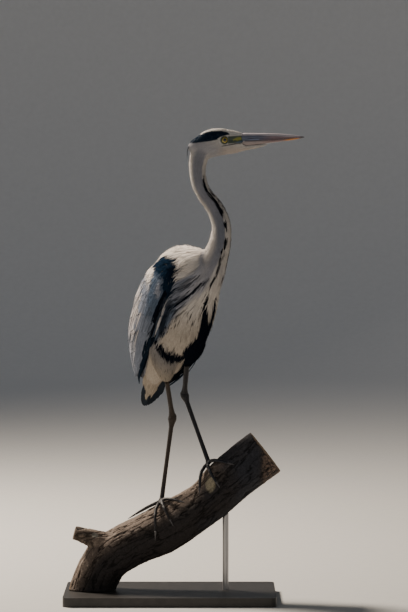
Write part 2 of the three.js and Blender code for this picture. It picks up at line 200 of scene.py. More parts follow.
def closed_shape(name, grow=0.0):
    """A node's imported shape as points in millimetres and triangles, its doubled points merged."""
    shape = bmesh.new()
    shape.from_mesh(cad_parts[name].data)
    shape.transform(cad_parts[name].matrix_world)
    bmesh.ops.remove_doubles(shape, verts=shape.verts, dist=1e-6)
    bmesh.ops.triangulate(shape, faces=shape.faces)
    bmesh.ops.recalc_face_normals(shape, faces=shape.faces)
    shape.normal_update()
    points = np.array([vert.co / MM + vert.normal * grow for vert in shape.verts])
    faces = np.array([[vert.index for vert in face.verts] for face in shape.faces])
    shape.free()
    return points, faces


def together(shapes):
    points, faces, count = [], [], 0
    for some_points, some_faces in shapes:
        points.append(some_points)
        faces.append(some_faces + count)
        count += len(some_points)
    return np.concatenate(points), np.concatenate(faces)


def remeshed(points, faces, voxel):
    """One closed shape round everything given, as points and four-sided faces."""
    rough = new_object("rough", new_mesh("rough", points, faces))
    change = rough.modifiers.new("voxels", "REMESH")
    change.mode = "VOXEL"
    change.voxel_size = voxel * MM
    done = bpy.data.meshes.new_from_object(rough.evaluated_get(bpy.context.evaluated_depsgraph_get()))
    bpy.data.objects.remove(rough)
    places = np.empty(len(done.vertices) * 3, dtype=np.float32)
    done.vertices.foreach_get("co", places)
    corners = np.empty(len(done.loops), dtype=np.int32)
    done.loops.foreach_get("vertex_index", corners)
    bpy.data.meshes.remove(done)
    return places.reshape(-1, 3).astype(float) / MM, corners.reshape(-1, 4)


def ring_faces(rings, spokes, closed=False):
    """Four-sided faces between rings of points, and from the last ring back to the first if it is closed."""
    faces = []
    for ring in range(rings if closed else rings - 1):
        here, there = ring * spokes, (ring + 1) % rings * spokes
        for spoke in range(spokes):
            after = (spoke + 1) % spokes
            faces.append((here + spoke, here + after, there + after, there + spoke))
    return np.array(faces)


def triangles_of(quads):
    return np.concatenate((quads[:, [0, 1, 2]], quads[:, [0, 2, 3]]))


def edges_of(faces):
    """The pairs of points that share a side, each once."""
    pairs = np.concatenate([faces[:, [i, (i + 1) % faces.shape[1]]] for i in range(faces.shape[1])])
    return np.unique(np.sort(pairs, axis=1), axis=0)


def spread(values, edges, rounds, share=0.5):
    """Averages values over neighbouring points."""
    count = len(values)
    ends = np.concatenate((edges[:, 0], edges[:, 1]))
    others = np.concatenate((edges[:, 1], edges[:, 0]))
    around = np.maximum(np.bincount(ends, minlength=count), 1)[:, None]
    values = values.copy()
    for _ in range(rounds):
        total = np.stack([np.bincount(ends, weights=values[others, k], minlength=count)
                          for k in range(values.shape[1])], axis=1)
        values += (total / around - values) * (share if np.isscalar(share) else share[:, None])
    return values


def normals_of(points, faces):
    """Area-weighted normals at the points of four-sided faces."""
    across = np.cross(points[faces[:, 2]] - points[faces[:, 0]], points[faces[:, 3]] - points[faces[:, 1]])
    total = np.zeros_like(points)
    for corner in range(4):
        for k in range(3):
            total[:, k] += np.bincount(faces[:, corner], weights=across[:, k], minlength=len(points))
    return unit(total)


# ---------------------------------------------------------------- places on the bird
def body_place(points):
    """Along the spine, out to the right, up through the back, and the angle from the keel to the right."""
    away = points - BODY
    along = away @ FORWARD
    out = away @ RIGHT
    up = away @ UP
    angle = np.degrees(np.arctan2(out, -up)) - KEEL_TURN
    return along, out, up, (angle + 180) % 360 - 180


NECK_STEPS = 160
NEAREST_BATCH = 20000  # points handled at once, so that the distances fit in memory


def eased_curve(stops, steps, rounds):
    """Steps along a line through the stops, its corners eased and its ends held."""
    share = np.linspace(0, len(stops) - 1, steps)
    curve = np.stack([np.interp(share, np.arange(len(stops)), stops[:, k]) for k in range(3)], axis=1)
    edges = np.stack((np.arange(steps - 1), np.arange(1, steps)), axis=1)
    free = np.ones(steps)
    free[[0, -1]] = 0
    return spread(curve, edges, rounds, share=0.5 * free)


def nearest_step(points, curve):
    """The number of the curve's step that is nearest to each point."""
    step = np.empty(len(points), dtype=int)
    for first in range(0, len(points), NEAREST_BATCH):
        some = points[first : first + NEAREST_BATCH]
        gap = ((some[:, None, :] - curve[None, :, :]) ** 2).sum(axis=2)
        step[first : first + NEAREST_BATCH] = gap.argmin(axis=1)
    return step


def length_of(line):
    return float(np.linalg.norm(np.diff(line, axis=0), axis=1).sum())


NECK_CURVE = eased_curve(NECK, NECK_STEPS, 40)
NECK_DOWN = unit(-np.gradient(NECK_CURVE, axis=0))


def neck_place(points):
    """The nearest step of the neck's line, and the angle round it from its front towards the bird's right."""
    step = nearest_step(points, NECK_CURVE)
    down = NECK_DOWN[step]
    away = points - NECK_CURVE[step]
    ahead = unit(np.array((1.0, 0, 0)) - down * down[:, :1])
    side = np.cross(ahead, down)
    side = side * -np.sign(side[:, 1:2])
    return step, np.degrees(np.arctan2((away * side).sum(axis=1), (away * ahead).sum(axis=1)))


def neck_front(height):
    """Which way the front of the neck faces, in degrees from the bill's direction towards the right."""
    return np.interp(height, (560, 618, 650, 690, 735, 800, 840, 880), (50, 46, 40, 30, 27, 27, 16, 6))


# ---------------------------------------------------------------- markings
CROWN_TOP = ((12, 8.1), (9.8, 8.4), (4, 12.6), (-7.4, 14.8), (-26, 14.6), (-38.9, 11.6), (-47.4, 6.9),
             (-54, 30))
CROWN_FOOT = ((12, 8.3), (9.8, 8.3), (-1.7, 6.0), (-10.3, 3.0), (-16, -1.8), (-28.9, -4.7), (-47.4, -7),
              (-60, -9))
LORE_TOP = ((0, 4.8), (31, 6.6), (50, 7.0))
LORE_FOOT = ((0, -10.4), (10, -9.6), (24, -8.6), (46, -5.6))
GAPE = ((-6, -14.0, 0.5), (8, -11.6, 1.0), (30, -8.0, 0.9), (46, -5.0, 0.7), (70, -3.0, 0.6))


def head_colours(points):
    ahead, out, up = (points - EYES).T
    colour = plain(CHALK, len(points))
    colour = mixed(colour, WHITE, smooth(up, 4, 10))
    colour = mixed(colour, LILAC, smooth(-up - ahead * 0.35, 6, 30) * 0.75)
    colour = mixed(colour, (0.52, 0.45, 0.40), smooth(-up, 12, 22) * smooth(ahead, -22, 4) * 0.8)
    lore = smooth(ahead, 3, 7) * (1 - smooth(ahead, 38, 50))
    lore = lore * smooth(stops_at(ahead, LORE_TOP) - up, -0.7, 1.2)
    lore = lore * smooth(up - stops_at(ahead, LORE_FOOT), -0.8, 1.4)
    colour = mixed(colour, (0.050, 0.068, 0.055), lore)
    patch = line_mark(ahead, up, ((17, -2.4, 1.4), (24, -0.6, 3.2), (30, 1.0, 2.2)), 4.0)
    patch = patch * smooth(clouds(points, 5, 14), 0.28, 0.52)
    colour = mixed(colour, (0.27, 0.27, 0.040), patch * lore)
    blue = line_mark(ahead, up, ((22, -7.2, 1.0), (34, -5.2, 1.4), (48, -3, 1.4)), 2)
    colour = mixed(colour, (0.045, 0.085, 0.14), blue * lore)
    # Painted shade: the line of the gape is dark, as the shade in its crease.
    colour = mixed(colour, (0.028, 0.032, 0.042), line_mark(ahead, up, GAPE, 1.2) * (np.abs(out) > 4) * 0.9)
    ring = 1 - smooth(np.hypot(ahead + EYE_BACK, up + EYE_BELOW), 7.2, 9.0)
    colour = mixed(colour, (0.10, 0.115, 0.075), ring)
    crown = smooth(stops_at(ahead, CROWN_TOP) - up, -0.8, 0.8)
    crown = crown * smooth(up - stops_at(ahead, CROWN_FOOT), -0.8, 0.8)
    crown = crown * (1 - smooth(ahead, 8, 10))
    return mixed(colour, NAVY, crown)


# Dark marks down the front of the neck: (height, degrees from the front line, half width) stops of each.
NECK_MARKS = (
    ((826, 16, 0.6), (812, 22, 2.0), (800, 27, 2.6), (786, 26, 3.2), (770, 27, 3.4), (748, 27, 3.2),
     (720, 27, 2.6)),
    ((799, 8, 0.8), (782, 4, 1.6), (766, 6, 1.4), (757, 12, 0.8)),
    ((709, 23, 1.6), (698, 25, 3.4), (686, 25, 2.2)),
    ((686, 33, 1.4), (680, 34, 2.2), (673, 34, 1.4)),
    ((679, 18, 1.6), (671, 20, 2.4), (664, 20, 1.6)),
    ((670, 31, 1.4), (655, 25, 2.6), (638, 24, 1.8)),
    ((631, 26, 1.8), (624, 26, 2.8), (616, 28, 1.4)),
)


def neck_colours(points):
    step, angle = neck_place(points)
    height = points[:, 2]
    turn = (angle - neck_front(height) + 180) % 360 - 180
    radius = np.linalg.norm(points - NECK_CURVE[step], axis=1)
    colour = plain(np.array(LILAC) * 0.82, len(points))
    colour = mixed(colour, ASH, smooth(height, 640, 700) * (1 - smooth(height, 715, 780)) * 0.55)
    nape = stops_at(height, ((630, 52), (690, 66), (740, 88), (800, 100)))
    behind = smooth(np.abs(turn) - nape, 0, 42)
    colour = mixed(colour, MANTLE, behind * 0.85)
    front = 1 - smooth(np.abs(turn), 33, 42)
    colour = mixed(colour, CHALK, front)
    colour = mixed(colour, trunk_colours(points), 1 - smooth(height, 606, 672))
    arc = np.radians(np.abs(turn)) * np.maximum(radius, 8)
    dark = np.zeros(len(points))
    for stops in NECK_MARKS:
        laid = [(at, math.radians(degrees) * stops_at(at, ((560, 26), (660, 24), (720, 18), (820, 15))), half)
                for at, degrees, half in stops]
        dark = np.maximum(dark, line_mark(height, arc, laid, 1.6))
    upper = smooth(height, 640, 700)
    flecks = smooth(clouds(points, 7, 15, 2), 0.34, 0.46) * upper + 1 - upper
    return mixed(colour, INK, dark * (0.1 + 0.9 * flecks))


KEEL_STRIPE = ((142, 17, 1.5), (125, 15, 4), (92, 12, 7.5), (66, 10, 10), (52, 8, 13))
KEEL_PATCH = ((58, 1, 12), (40, 1, 26), (22, 0, 37), (6, 0, 40), (-8, 0, 33), (-24, 0, 25), (-40, 0, 22),
              (-54, 0, 16))
THIGH_STRIPE = ((30, 84, 3), (18, 80, 5), (6, 71, 6.5), (-6, 57, 7), (-14, 43, 8), (-17, 28, 10))
# Painted shadows in the gaps between the breast's loose plumes, the first under the shoulder's lower edge:
# (along, degrees from the keel, half width) stops of each.
PLUME_GAP_SHADOWS = (
    ((166, 36, 1.0), (152, 50, 2.6), (140, 64, 3.0), (127, 79, 2.0)),
    ((138, 50, 0.8), (126, 58, 1.8), (114, 68, 2.2), (103, 77, 1.2)),
    ((128, 54, 0.8), (112, 63, 2.2), (96, 71, 2.6), (84, 77, 1.4)),
    ((117, 49, 0.8), (100, 58, 2.0), (84, 66, 2.6), (70, 73, 1.6)),
    ((104, 46, 0.6), (90, 53, 1.6), (74, 61, 2.0), (60, 67, 1.2)),
    ((78, 55, 0.6), (64, 60, 1.4), (48, 65, 2.0), (34, 70, 1.4)),
)
# Painted shadow between the folded wing's lower edge and the breast: (along, up, half width) stops.
WING_GAP_SHADOW = ((113, -24, 2), (90, -29, 4), (62, -34, 6), (42, -37, 7), (26, -38, 4))
SIDE_STREAK = ((168, 16, 1.2), (160, 22, 2.4), (151, 32, 2.6), (133, 46, 3), (112, 60, 2.6), (100, 70, 1))
BREAST_MARKS = (
    ((97, 45, 1.5), (88, 42, 2.2)),
    ((96, 37, 1.2), (84, 36, 1.8)),
    ((84, 29, 1.0), (72, 31, 1.8)),
    ((88, 24, 1.0), (78, 22, 1.8)),
    ((112, 40, 1.4), (104, 38, 1.8)),
    ((72, 50, 0.8), (50, 60, 1.2)),
    ((6, 46, 1.6), (-8, 34, 2.4)),
)
BACK_EDGE = ((215, 75), (185, 52), (168, 56), (142, 86), (120, 104), (-150, 104))
GREY_EDGE = ((215, -20), (183, 5), (147, 23), (123, 41), (99, 55), (67, 63), (31, 67), (-10, 76), (-150, 84))


def laid_on_body(stops):
    return [(along, math.radians(angle) * GIRTH, half) for along, angle, half in stops]


def trunk_colours(points):
    along, out, up, angle = body_place(points)
    turn = np.abs(angle)
    arc = np.radians(turn) * GIRTH
    colour = plain(CHALK, len(points))
    colour = mixed(colour, BUFF, (1 - smooth(along, 40, 120)) * 0.75)
    grey = smooth(turn - stops_at(along, GREY_EDGE), -5, 5)
    colour = mixed(colour, LILAC, grey * 0.9)
    colour = mixed(colour, ASH, grey * smooth(turn, 40, 66) * 0.8)
    # Painted shade: the grey side is darkened to slate under the folded wing.
    shade = grey * (1 - smooth(along, 92, 122)) * smooth(along, -10, 16) * smooth(turn, 56, 68)
    colour = mixed(colour, SLATE, shade * 0.9)
    back = smooth(turn - stops_at(along, BACK_EDGE), -5, 7)
    colour = mixed(colour, MANTLE, back)
    colour = mixed(colour, ASH, back * (1 - smooth(along, 70, 115)) * 0.85)
    colour = mixed(colour, NAVY, line_mark(along, up, WRIST_PATCH, 6) * (np.abs(out) > 25))
    # Painted shadows: dark lines in the gaps between the plumes.
    for stops in PLUME_GAP_SHADOWS:
        colour = mixed(colour, INK, line_mark(along, arc, laid_on_body(stops), 3) * 0.8)
    # Painted shadow under the folded wing's lower edge.
    colour = mixed(colour, INK, line_mark(along, up, WING_GAP_SHADOW, 6) * 0.85)
    for stops, soft in ((KEEL_STRIPE, 3.5), (KEEL_PATCH, 4), (THIGH_STRIPE, 4), (SIDE_STREAK, 2.4)):
        colour = mixed(colour, INK, line_mark(along, arc, laid_on_body(stops), soft))
    for stops in BREAST_MARKS:
        colour = mixed(colour, INK, line_mark(along, arc, laid_on_body(stops), 2) * 0.85)
    return colour


WRIST_PATCH = ((122, 66, 4), (133, 50, 9), (142, 28, 13), (145, 8, 11), (133, -9, 10), (118, -17, 6))
WING_EDGE = ((120, -16, 4), (99, -20, 4), (64, -23, 3.6), (30, -24, 3.4), (8, -27, 3.4))
SCAPULAR_EDGE = ((140, 52), (126, 40), (113, 28), (97, 18), (72, 7), (45, 1), (0, -4), (-60, -6), (-150, -4))
PRIMARY_EDGE = ((30, -38), (4, -37), (-29, -32), (-71, -21), (-125, -8), (-170, 1))
THIGH_EDGE = ((-90, -40), (-60, -30), (-44, 4), (-31, 14), (-10, 10))


def wing_colours(points):
    along, _, up, _ = body_place(points)
    colour = plain(SLATE, len(points))
    # A painted highlight: a pale lilac streak on the coverts near the bend of the wing.
    colour = mixed(colour, LILAC, line_mark(along, up, ((124, 6, 2), (108, -4, 5)), 12) * 0.8)
    colour = mixed(colour, ASH, (1 - smooth(along, 30, 90)) * 0.8)
    upper = smooth(up - stops_at(along, SCAPULAR_EDGE), -5, 6)
    colour = mixed(colour, ASH, upper)
    colour = mixed(colour, MANTLE, upper * smooth(along, 88, 118))
    colour = mixed(colour, FLIGHT, 1 - smooth(up - stops_at(along, PRIMARY_EDGE), -3, 4))
    colour = mixed(colour, NAVY, line_mark(along, up, WRIST_PATCH, 6))
    return mixed(colour, INK, line_mark(along, up, WING_EDGE, 3))


def thigh_colours(points):
    along, _, _, angle = body_place(points)
    arc = np.radians(np.abs(angle)) * GIRTH
    colour = mixed(plain(BUFF, len(points)), ASH, smooth(along, -60, -10) * 0.5)
    dark = (1 - smooth(angle - stops_at(along, THIGH_EDGE), -4, 4)) * smooth(angle, -52, -36)
    colour = mixed(colour, INK, dark)
    for stops in (THIGH_STRIPE, KEEL_PATCH):
        colour = mixed(colour, INK, line_mark(along, arc, laid_on_body(stops), 4))
    return colour


REGIONS = ("head", "neck", "trunk", "wing", "thigh")


def markings(points, shares):
    """The plumage colours at points, whose shares say how far each belongs to each region."""
    total = np.zeros_like(points)
    for share, colours in zip(shares.T, (head_colours, neck_colours, trunk_colours, wing_colours,
                                         thigh_colours)):
        some = share > 0.01
        if some.any():
            total[some] += colours(points[some]) * share[some, None]
    total /= np.maximum(shares.sum(axis=1, keepdims=True), 1e-6)
    return total * (0.92 + 0.16 * clouds(points, 26, 3))[:, None]


# ---------------------------------------------------------------- skin
FLESH = {
    "head": ("head",),
    "neck": ("neck_lower", "neck_middle", "neck_upper"),
    "trunk": ("trunk",),
    "wing": ("wing_right", "wing_left"),
    "thigh": ("thigh_right", "thigh_left"),
}
REGION_BLEND = 3.0
COAT_DEPTH = {"head": 1.1, "neck": 2.2, "trunk": 3.6, "wing": 2.4, "thigh": 2.6}


def tree_of(points, faces):
    return BVHTree.FromPolygons([Vector(point) for point in points], faces.tolist())


def region_shares(points):
    """How far each point belongs to each region, from its distance to the region's solids."""
    distance = []
    for region in REGIONS:
        tree = tree_of(*together([closed_shape(node) for node in FLESH[region]]))
        distance.append([tree.find_nearest(Vector(point))[3] for point in points])
    distance = np.array(distance).T
    near = np.exp(-(distance - distance.min(axis=1, keepdims=True)) / REGION_BLEND)
    return near / near.sum(axis=1, keepdims=True)


def lie_of(points, shares):
    """Which way the feathers lie at each point, before it is laid on the skin."""
    along, _, _, angle = body_place(points)
    turn = np.radians(angle + KEEL_TURN)
    round_body = np.cos(turn)[:, None] * RIGHT + np.sin(turn)[:, None] * UP
    fan = smooth(along, 78, 120) * smooth(np.abs(angle), 6, 24) * (1 - smooth(np.abs(angle), 82, 112))
    trunk = -FORWARD + round_body * (np.sign(angle) * fan * 0.75)[:, None] + np.array((0, 0, -0.12))
    step, _ = neck_place(points)
    neck = NECK_DOWN[step]
    relative = points - EYES
    head = np.stack((-np.ones(len(points)), 0.0 * along, -0.18 - 0.55 * smooth(-relative[:, 0], 20, 45)),
                    axis=1)
    thigh = plain((0.06, 0.05, -1.0), len(points))
    wing = -FORWARD + UP * (-0.10 * smooth(along, -20, 60))[:, None]
    total = np.zeros_like(points)
    for share, lie in zip(shares.T, (head, neck, trunk, wing, thigh)):
        total += unit(lie) * share[:, None]
    return unit(total)


def chart_place(points, chart):
    """A place from 0 to 1 on the unwrap of one region of the skin: round it, then along it."""
    if chart == "head":
        relative = points - EYES
        return np.arctan2(relative[:, 1], relative[:, 2]) / (2 * np.pi) + 0.5, (relative[:, 0] + 75) / 165
    if chart == "neck":
        step, angle = neck_place(points)
        return angle / 360 + 0.5, step / (NECK_STEPS - 1)
    if chart == "thigh":
        right = points[:, 0] < 20
        middle = np.where(right[:, None], np.array((-9.0, -10.0, 0)), np.array((38.0, 9.0, 0)))
        round_leg = np.arctan2(points[:, 1] - middle[:, 1], points[:, 0] - middle[:, 0]) / (2 * np.pi) + 0.5
        return round_leg / 2 + np.where(right, 0.0, 0.5), (points[:, 2] - 410) / 110
    along, _, _, angle = body_place(points)
    return angle / 360 + 0.5, (along + 180) / 400


CHARTS = {"head": (0.52, 0.52, 0.46, 0.22), "neck": (0.02, 0.52, 0.46, 0.22),
          "thigh": (0.02, 0.77, 0.96, 0.2), "trunk": (0.02, 0.02, 0.96, 0.46),
          "wing": (0.02, 0.02, 0.96, 0.46)}


def on_chart(points, chart):
    left, low, wide, high = CHARTS[chart]
    round_it, along_it = chart_place(points, chart)
    return np.stack((left + wide * round_it, low + high * np.clip(along_it, 0, 1)), axis=1)


class Skin:
    """The bird's one skin, and what every point and triangle of it knows for the coat."""

    def __init__(self):
        shapes = [closed_shape(node, grow=0.35) for nodes in FLESH.values() for node in nodes]
        points, quads = remeshed(*together(shapes), SKIN_VOXEL)
        edges = edges_of(quads)
        shares = region_shares(points)
        still = 0.5 - 0.25 * shares[:, 0]
        points = spread(points, edges, 7, share=still)
        depth = shares @ np.array([COAT_DEPTH[region] for region in REGIONS])
        ahead = points[:, 0] - EYES[0]
        depth = depth * (1 - 0.6 * shares[:, 0] * smooth(ahead, -5, 25))
        points = points - normals_of(points, quads) * depth[:, None]
        points = spread(points, edges, 3, share=still)
        self.points, self.quads, self.edges, self.shares = points, quads, edges, shares
        self.refine_head()
        self.sculpt_head()
        self.normals = normals_of(self.points, self.quads)
        lie = lie_of(self.points, self.shares)
        lie = unit(lie - self.normals * (lie * self.normals).sum(axis=1, keepdims=True))
        lie = spread(lie, self.edges, 12)
        self.lie = unit(lie - self.normals * (lie * self.normals).sum(axis=1, keepdims=True))
        self.soft_normals = unit(spread(self.normals, self.edges, 5))
        self.triangles = triangles_of(self.quads)
        self.tree = tree_of(self.points, self.triangles)
        self.face_shares = self.shares[self.triangles].mean(axis=1)
        self.face_lie = unit(self.lie[self.triangles].mean(axis=1))
        self.face_normal = unit(self.soft_normals[self.triangles].mean(axis=1))
        corners = self.points[self.triangles]
        self.face_middle = corners.mean(axis=1)
        across = np.cross(corners[:, 1] - corners[:, 0], corners[:, 2] - corners[:, 0])
        self.face_area = np.linalg.norm(across, axis=1) / 2

    def refine_head(self):
        """Halves the squares of the head, so that its folds have points to stand on."""
        shape = bmesh.new()
        shape.from_mesh(new_mesh("skin", self.points, self.quads))
        share = shape.verts.layers.float_vector.new("share")
        other = shape.verts.layers.float_vector.new("other")
        shape.verts.ensure_lookup_table()
        for vert, values in zip(shape.verts, self.shares):
            vert[share] = values[:3]
            vert[other] = (values[3], values[4], 0)
        edges = [edge for edge in shape.edges if all(vert[share][0] > 0.6 for vert in edge.verts)]
        bmesh.ops.subdivide_edges(shape, edges=edges, cuts=1, use_grid_fill=True, smooth=0.6)
        bmesh.ops.triangulate(shape, faces=[face for face in shape.faces if len(face.verts) > 4])
        shape.verts.index_update()
        self.points = np.array([vert.co / MM for vert in shape.verts])
        self.shares = np.array([(*vert[share], *vert[other][:2]) for vert in shape.verts])
        quads = [[vert.index for vert in face.verts] for face in shape.faces]
        self.quads = np.array([corners if len(corners) == 4 else [*corners, corners[2]] for corners in quads])
        self.edges = edges_of(self.quads)
        self.edges = self.edges[self.edges[:, 0] != self.edges[:, 1]]
        shape.free()

    def sculpt_head(self):
        """A groove before the eye, a brow over it, and the edge of the gape."""
        ahead, out, up = (self.points - EYES).T
        side = np.stack((0 * ahead, np.sign(out), 0 * ahead), axis=1)
        brow = line_mark(ahead, up, ((-10, 4.6, 0.4), (1, 6.8, 1.2), (13, 6.4, 0.8), (34, 6.8, 0.4)), 5) * 1.3
        lore = line_mark(ahead, up, ((8, -2.4, 1.2), (34, -1.2, 1.6)), 7) * -1.5
        gape = line_mark(ahead, up, GAPE, 2.2) * -0.8
        cheek = line_mark(ahead, up, ((-16, -9, 3), (6, -14, 2)), 12) * 0.9
        self.points = self.points + side * ((brow + lore + gape + cheek) * self.shares[:, 0])[:, None]

    def nearest(self, places):
        found = np.empty_like(places)
        faces = np.empty(len(places), dtype=int)
        for number, place in enumerate(places):
            found[number], _, faces[number], _ = self.tree.find_nearest(Vector(place))
        return found, faces

    def colours_on(self, faces, places):
        return markings(places, self.face_shares[faces])

    def root_uv(self, faces, places):
        uv = np.empty((len(places), 2))
        region = self.face_shares[faces].argmax(axis=1)
        for number, name in enumerate(REGIONS):
            some = region == number
            if some.any():
                uv[some] = on_chart(places[some], name)
        return uv

    def piece(self):
        tris = self.triangles
        used = (tris[:, 0] != tris[:, 1]) & (tris[:, 1] != tris[:, 2]) & (tris[:, 0] != tris[:, 2])
        tris = tris[used]
        mesh = new_mesh("skin", self.points, tris)
        set_tint(mesh, markings(self.points, self.shares))
        region = self.face_shares[used].argmax(axis=1)
        uv = np.empty((len(tris), 3, 2))
        for number, name in enumerate(REGIONS):
            some = region == number
            corner_uv = on_chart(self.points[tris[some]].reshape(-1, 3), name).reshape(-1, 3, 2)
            span = CHARTS[name][2] * (0.5 if name == "thigh" else 1)
            wraps = corner_uv[:, :, 0].max(axis=1) - corner_uv[:, :, 0].min(axis=1) > span / 2
            low = corner_uv[:, :, 0] < corner_uv[:, :, 0].mean(axis=1, keepdims=True)
            corner_uv[:, :, 0] += np.where(wraps[:, None] & low, span, 0)
            uv[some] = corner_uv
        set_uv(mesh, uv)
        return new_object("skin", mesh)


# ---------------------------------------------------------------- feathers
# Each outline is a row of (share of the length, share of the full width) from the root to the tip.
OUTLINES = {
    "hair": ((0, 0), (0.3, 1), (0.7, 0.7), (1, 0)),
    "lance": ((0, 0), (0.18, 0.8), (0.45, 1), (0.75, 0.55), (1, 0)),
    "round": ((0, 0), (0.2, 0.7), (0.5, 1), (0.8, 0.85), (0.95, 0.4), (1, 0)),
    "blade": ((0, 0), (0.08, 0.55), (0.25, 0.9), (0.5, 1), (0.75, 0.94), (0.9, 0.72), (0.97, 0.4), (1, 0)),
}
NEIGHBOURS = [(dx, dy, dz) for dx in (-1, 0, 1) for dy in (-1, 0, 1) for dz in (-1, 0, 1)]
ROOTS_TRIED = 2.4  # for each square of the spacing, of which the crowded ones are dropped


def squared_gap(first, second):
    return (first[0] - second[0]) ** 2 + (first[1] - second[1]) ** 2 + (first[2] - second[2]) ** 2


def scattered(skin, chosen, spacing, seed):
    """Roots strewn evenly over the chosen triangles, and the triangle of each."""
    chance = np.random.default_rng(seed)
    area = skin.face_area * chosen
    count = int(area.sum() / spacing**2 * ROOTS_TRIED)
    if count < 3:
        return np.zeros((0, 3)), np.zeros(0, dtype=int)
    faces = chance.choice(len(area), size=count, p=area / area.sum())
    share = np.sqrt(chance.random(count))
    other = chance.random(count)
    a, b, c = (skin.points[skin.triangles[faces, k]] for k in range(3))
    places = a * (1 - share)[:, None] + (b * (1 - other)[:, None] + c * other[:, None]) * share[:, None]
    # A root stays only where no root kept before it is nearer than the spacing.
    cells, keep = {}, []
    own_cells = np.floor(places / spacing).astype(int).tolist()
    for number, (place, cell) in enumerate(zip(places.tolist(), own_cells)):
        x, y, z = cell
        around = (near for dx, dy, dz in NEIGHBOURS for near in cells.get((x + dx, y + dy, z + dz), ()))
        if not any(squared_gap(place, near) < spacing**2 for near in around):
            cells.setdefault((x, y, z), []).append(place)
            keep.append(number)
    return places[keep], faces[keep]


def walked(skin, roots, faces, lengths, steps, turn, follow=0.7):
    """Paths over the skin from the roots, with the lie of the coat, and the way up at each step."""
    heading = skin.face_lie[faces]
    up = skin.face_normal[faces]
    heading = unit(heading * np.cos(turn)[:, None] + np.cross(up, heading) * np.sin(turn)[:, None])
    places, ups, marks = [roots], [up], [faces]
    for _ in range(steps):
        reach, faces = skin.nearest(places[-1] + heading * (lengths / steps)[:, None])
        places.append(reach)
        up = skin.face_normal[faces]
        ups.append(up)
        marks.append(faces)
        heading = heading * (1 - follow) + skin.face_lie[faces] * follow
        heading = unit(heading - up * (heading * up).sum(axis=1, keepdims=True))
    return np.stack(places, axis=1), np.stack(ups, axis=1), np.stack(marks, axis=1)


def at_stations(path, up, stations):
    """The middle line and the way up of each feather at the stations of its outline."""
    share = np.linspace(0, 1, path.shape[1])
    middle = np.empty((len(path), len(stations), 3))
    above = np.empty_like(middle)
    for number, at in enumerate(stations):
        first = min(int(at * (path.shape[1] - 1)), path.shape[1] - 2)
        part = (at - share[first]) / (share[first + 1] - share[first])
        middle[:, number] = path[:, first] * (1 - part) + path[:, first + 1] * part
        above[:, number] = unit(up[:, first] * (1 - part) + up[:, first + 1] * part)
    return middle, above


def vane_points(middle, above, rise, half, camber, ragged, lean, chance):
    """Each vane's root, the left, ridge and right of each of its rings, and its tip."""
    tangent = unit(np.gradient(middle, axis=1))
    across = unit(np.cross(tangent, above))
    middle = middle + above * rise[..., None]
    left = half * (1 + ragged * chance.normal(size=half.shape))
    right = half * (1 + ragged * chance.normal(size=half.shape))
    tilt = (lean * chance.normal(size=len(half)))[:, None]
    sides = []
    for sign, reach in ((-1, left), (1, right)):
        droop = -camber * half + sign * tilt * half
        sides.append(middle + across * (sign * reach)[..., None] + above * droop[..., None])
    ridge = middle + above * (camber * half + 0.08)[..., None]
    rings = np.stack((sides[0][:, 1:-1], ridge[:, 1:-1], sides[1][:, 1:-1]), axis=2)
    return np.concatenate((middle[:, :1], rings.reshape(len(half), -1, 3), middle[:, -1:]), axis=1)


def vane_faces(rings):
    """The triangles of one vane, between its root, its rings of three points, and its tip."""
    faces = []
    for ring in range(rings - 1):
        for k in range(3):
            a, b = 1 + ring * 3 + k, 1 + ring * 3 + (k + 1) % 3
            faces += [(a, b, b + 3), (a, b + 3, a + 3)]
    last = 1 + (rings - 1) * 3
    for k in range(3):
        faces.append((0, 1 + (k + 1) % 3, 1 + k))
        faces.append((last + 3, last + k, last + (k + 1) % 3))
    return np.array(faces)


def vane_colours(tint, tip_tint, along, beside, edge_light, quill, random):
    """The tint of each feather, darker at its root and on its quill, and lighter at its edges."""
    colour = np.repeat(tint[:, None], len(along), axis=1)
    if tip_tint is not None:
        colour = colour + (tip_tint[:, None] - colour) * smooth(along, 0.35, 0.95)[None, :, None]
    colour = colour * (1 + edge_light * np.abs(beside)[None, :, None])
    colour = colour * (1 - quill * (1 - np.abs(beside)) * (along < 0.97))[None, :, None]
    brighter = (0.86 + 0.14 * smooth(along, 0.2, 0.7))[None, :, None]
    return colour * (1 + 0.10 * (random - 0.5))[:, None, None] * brighter


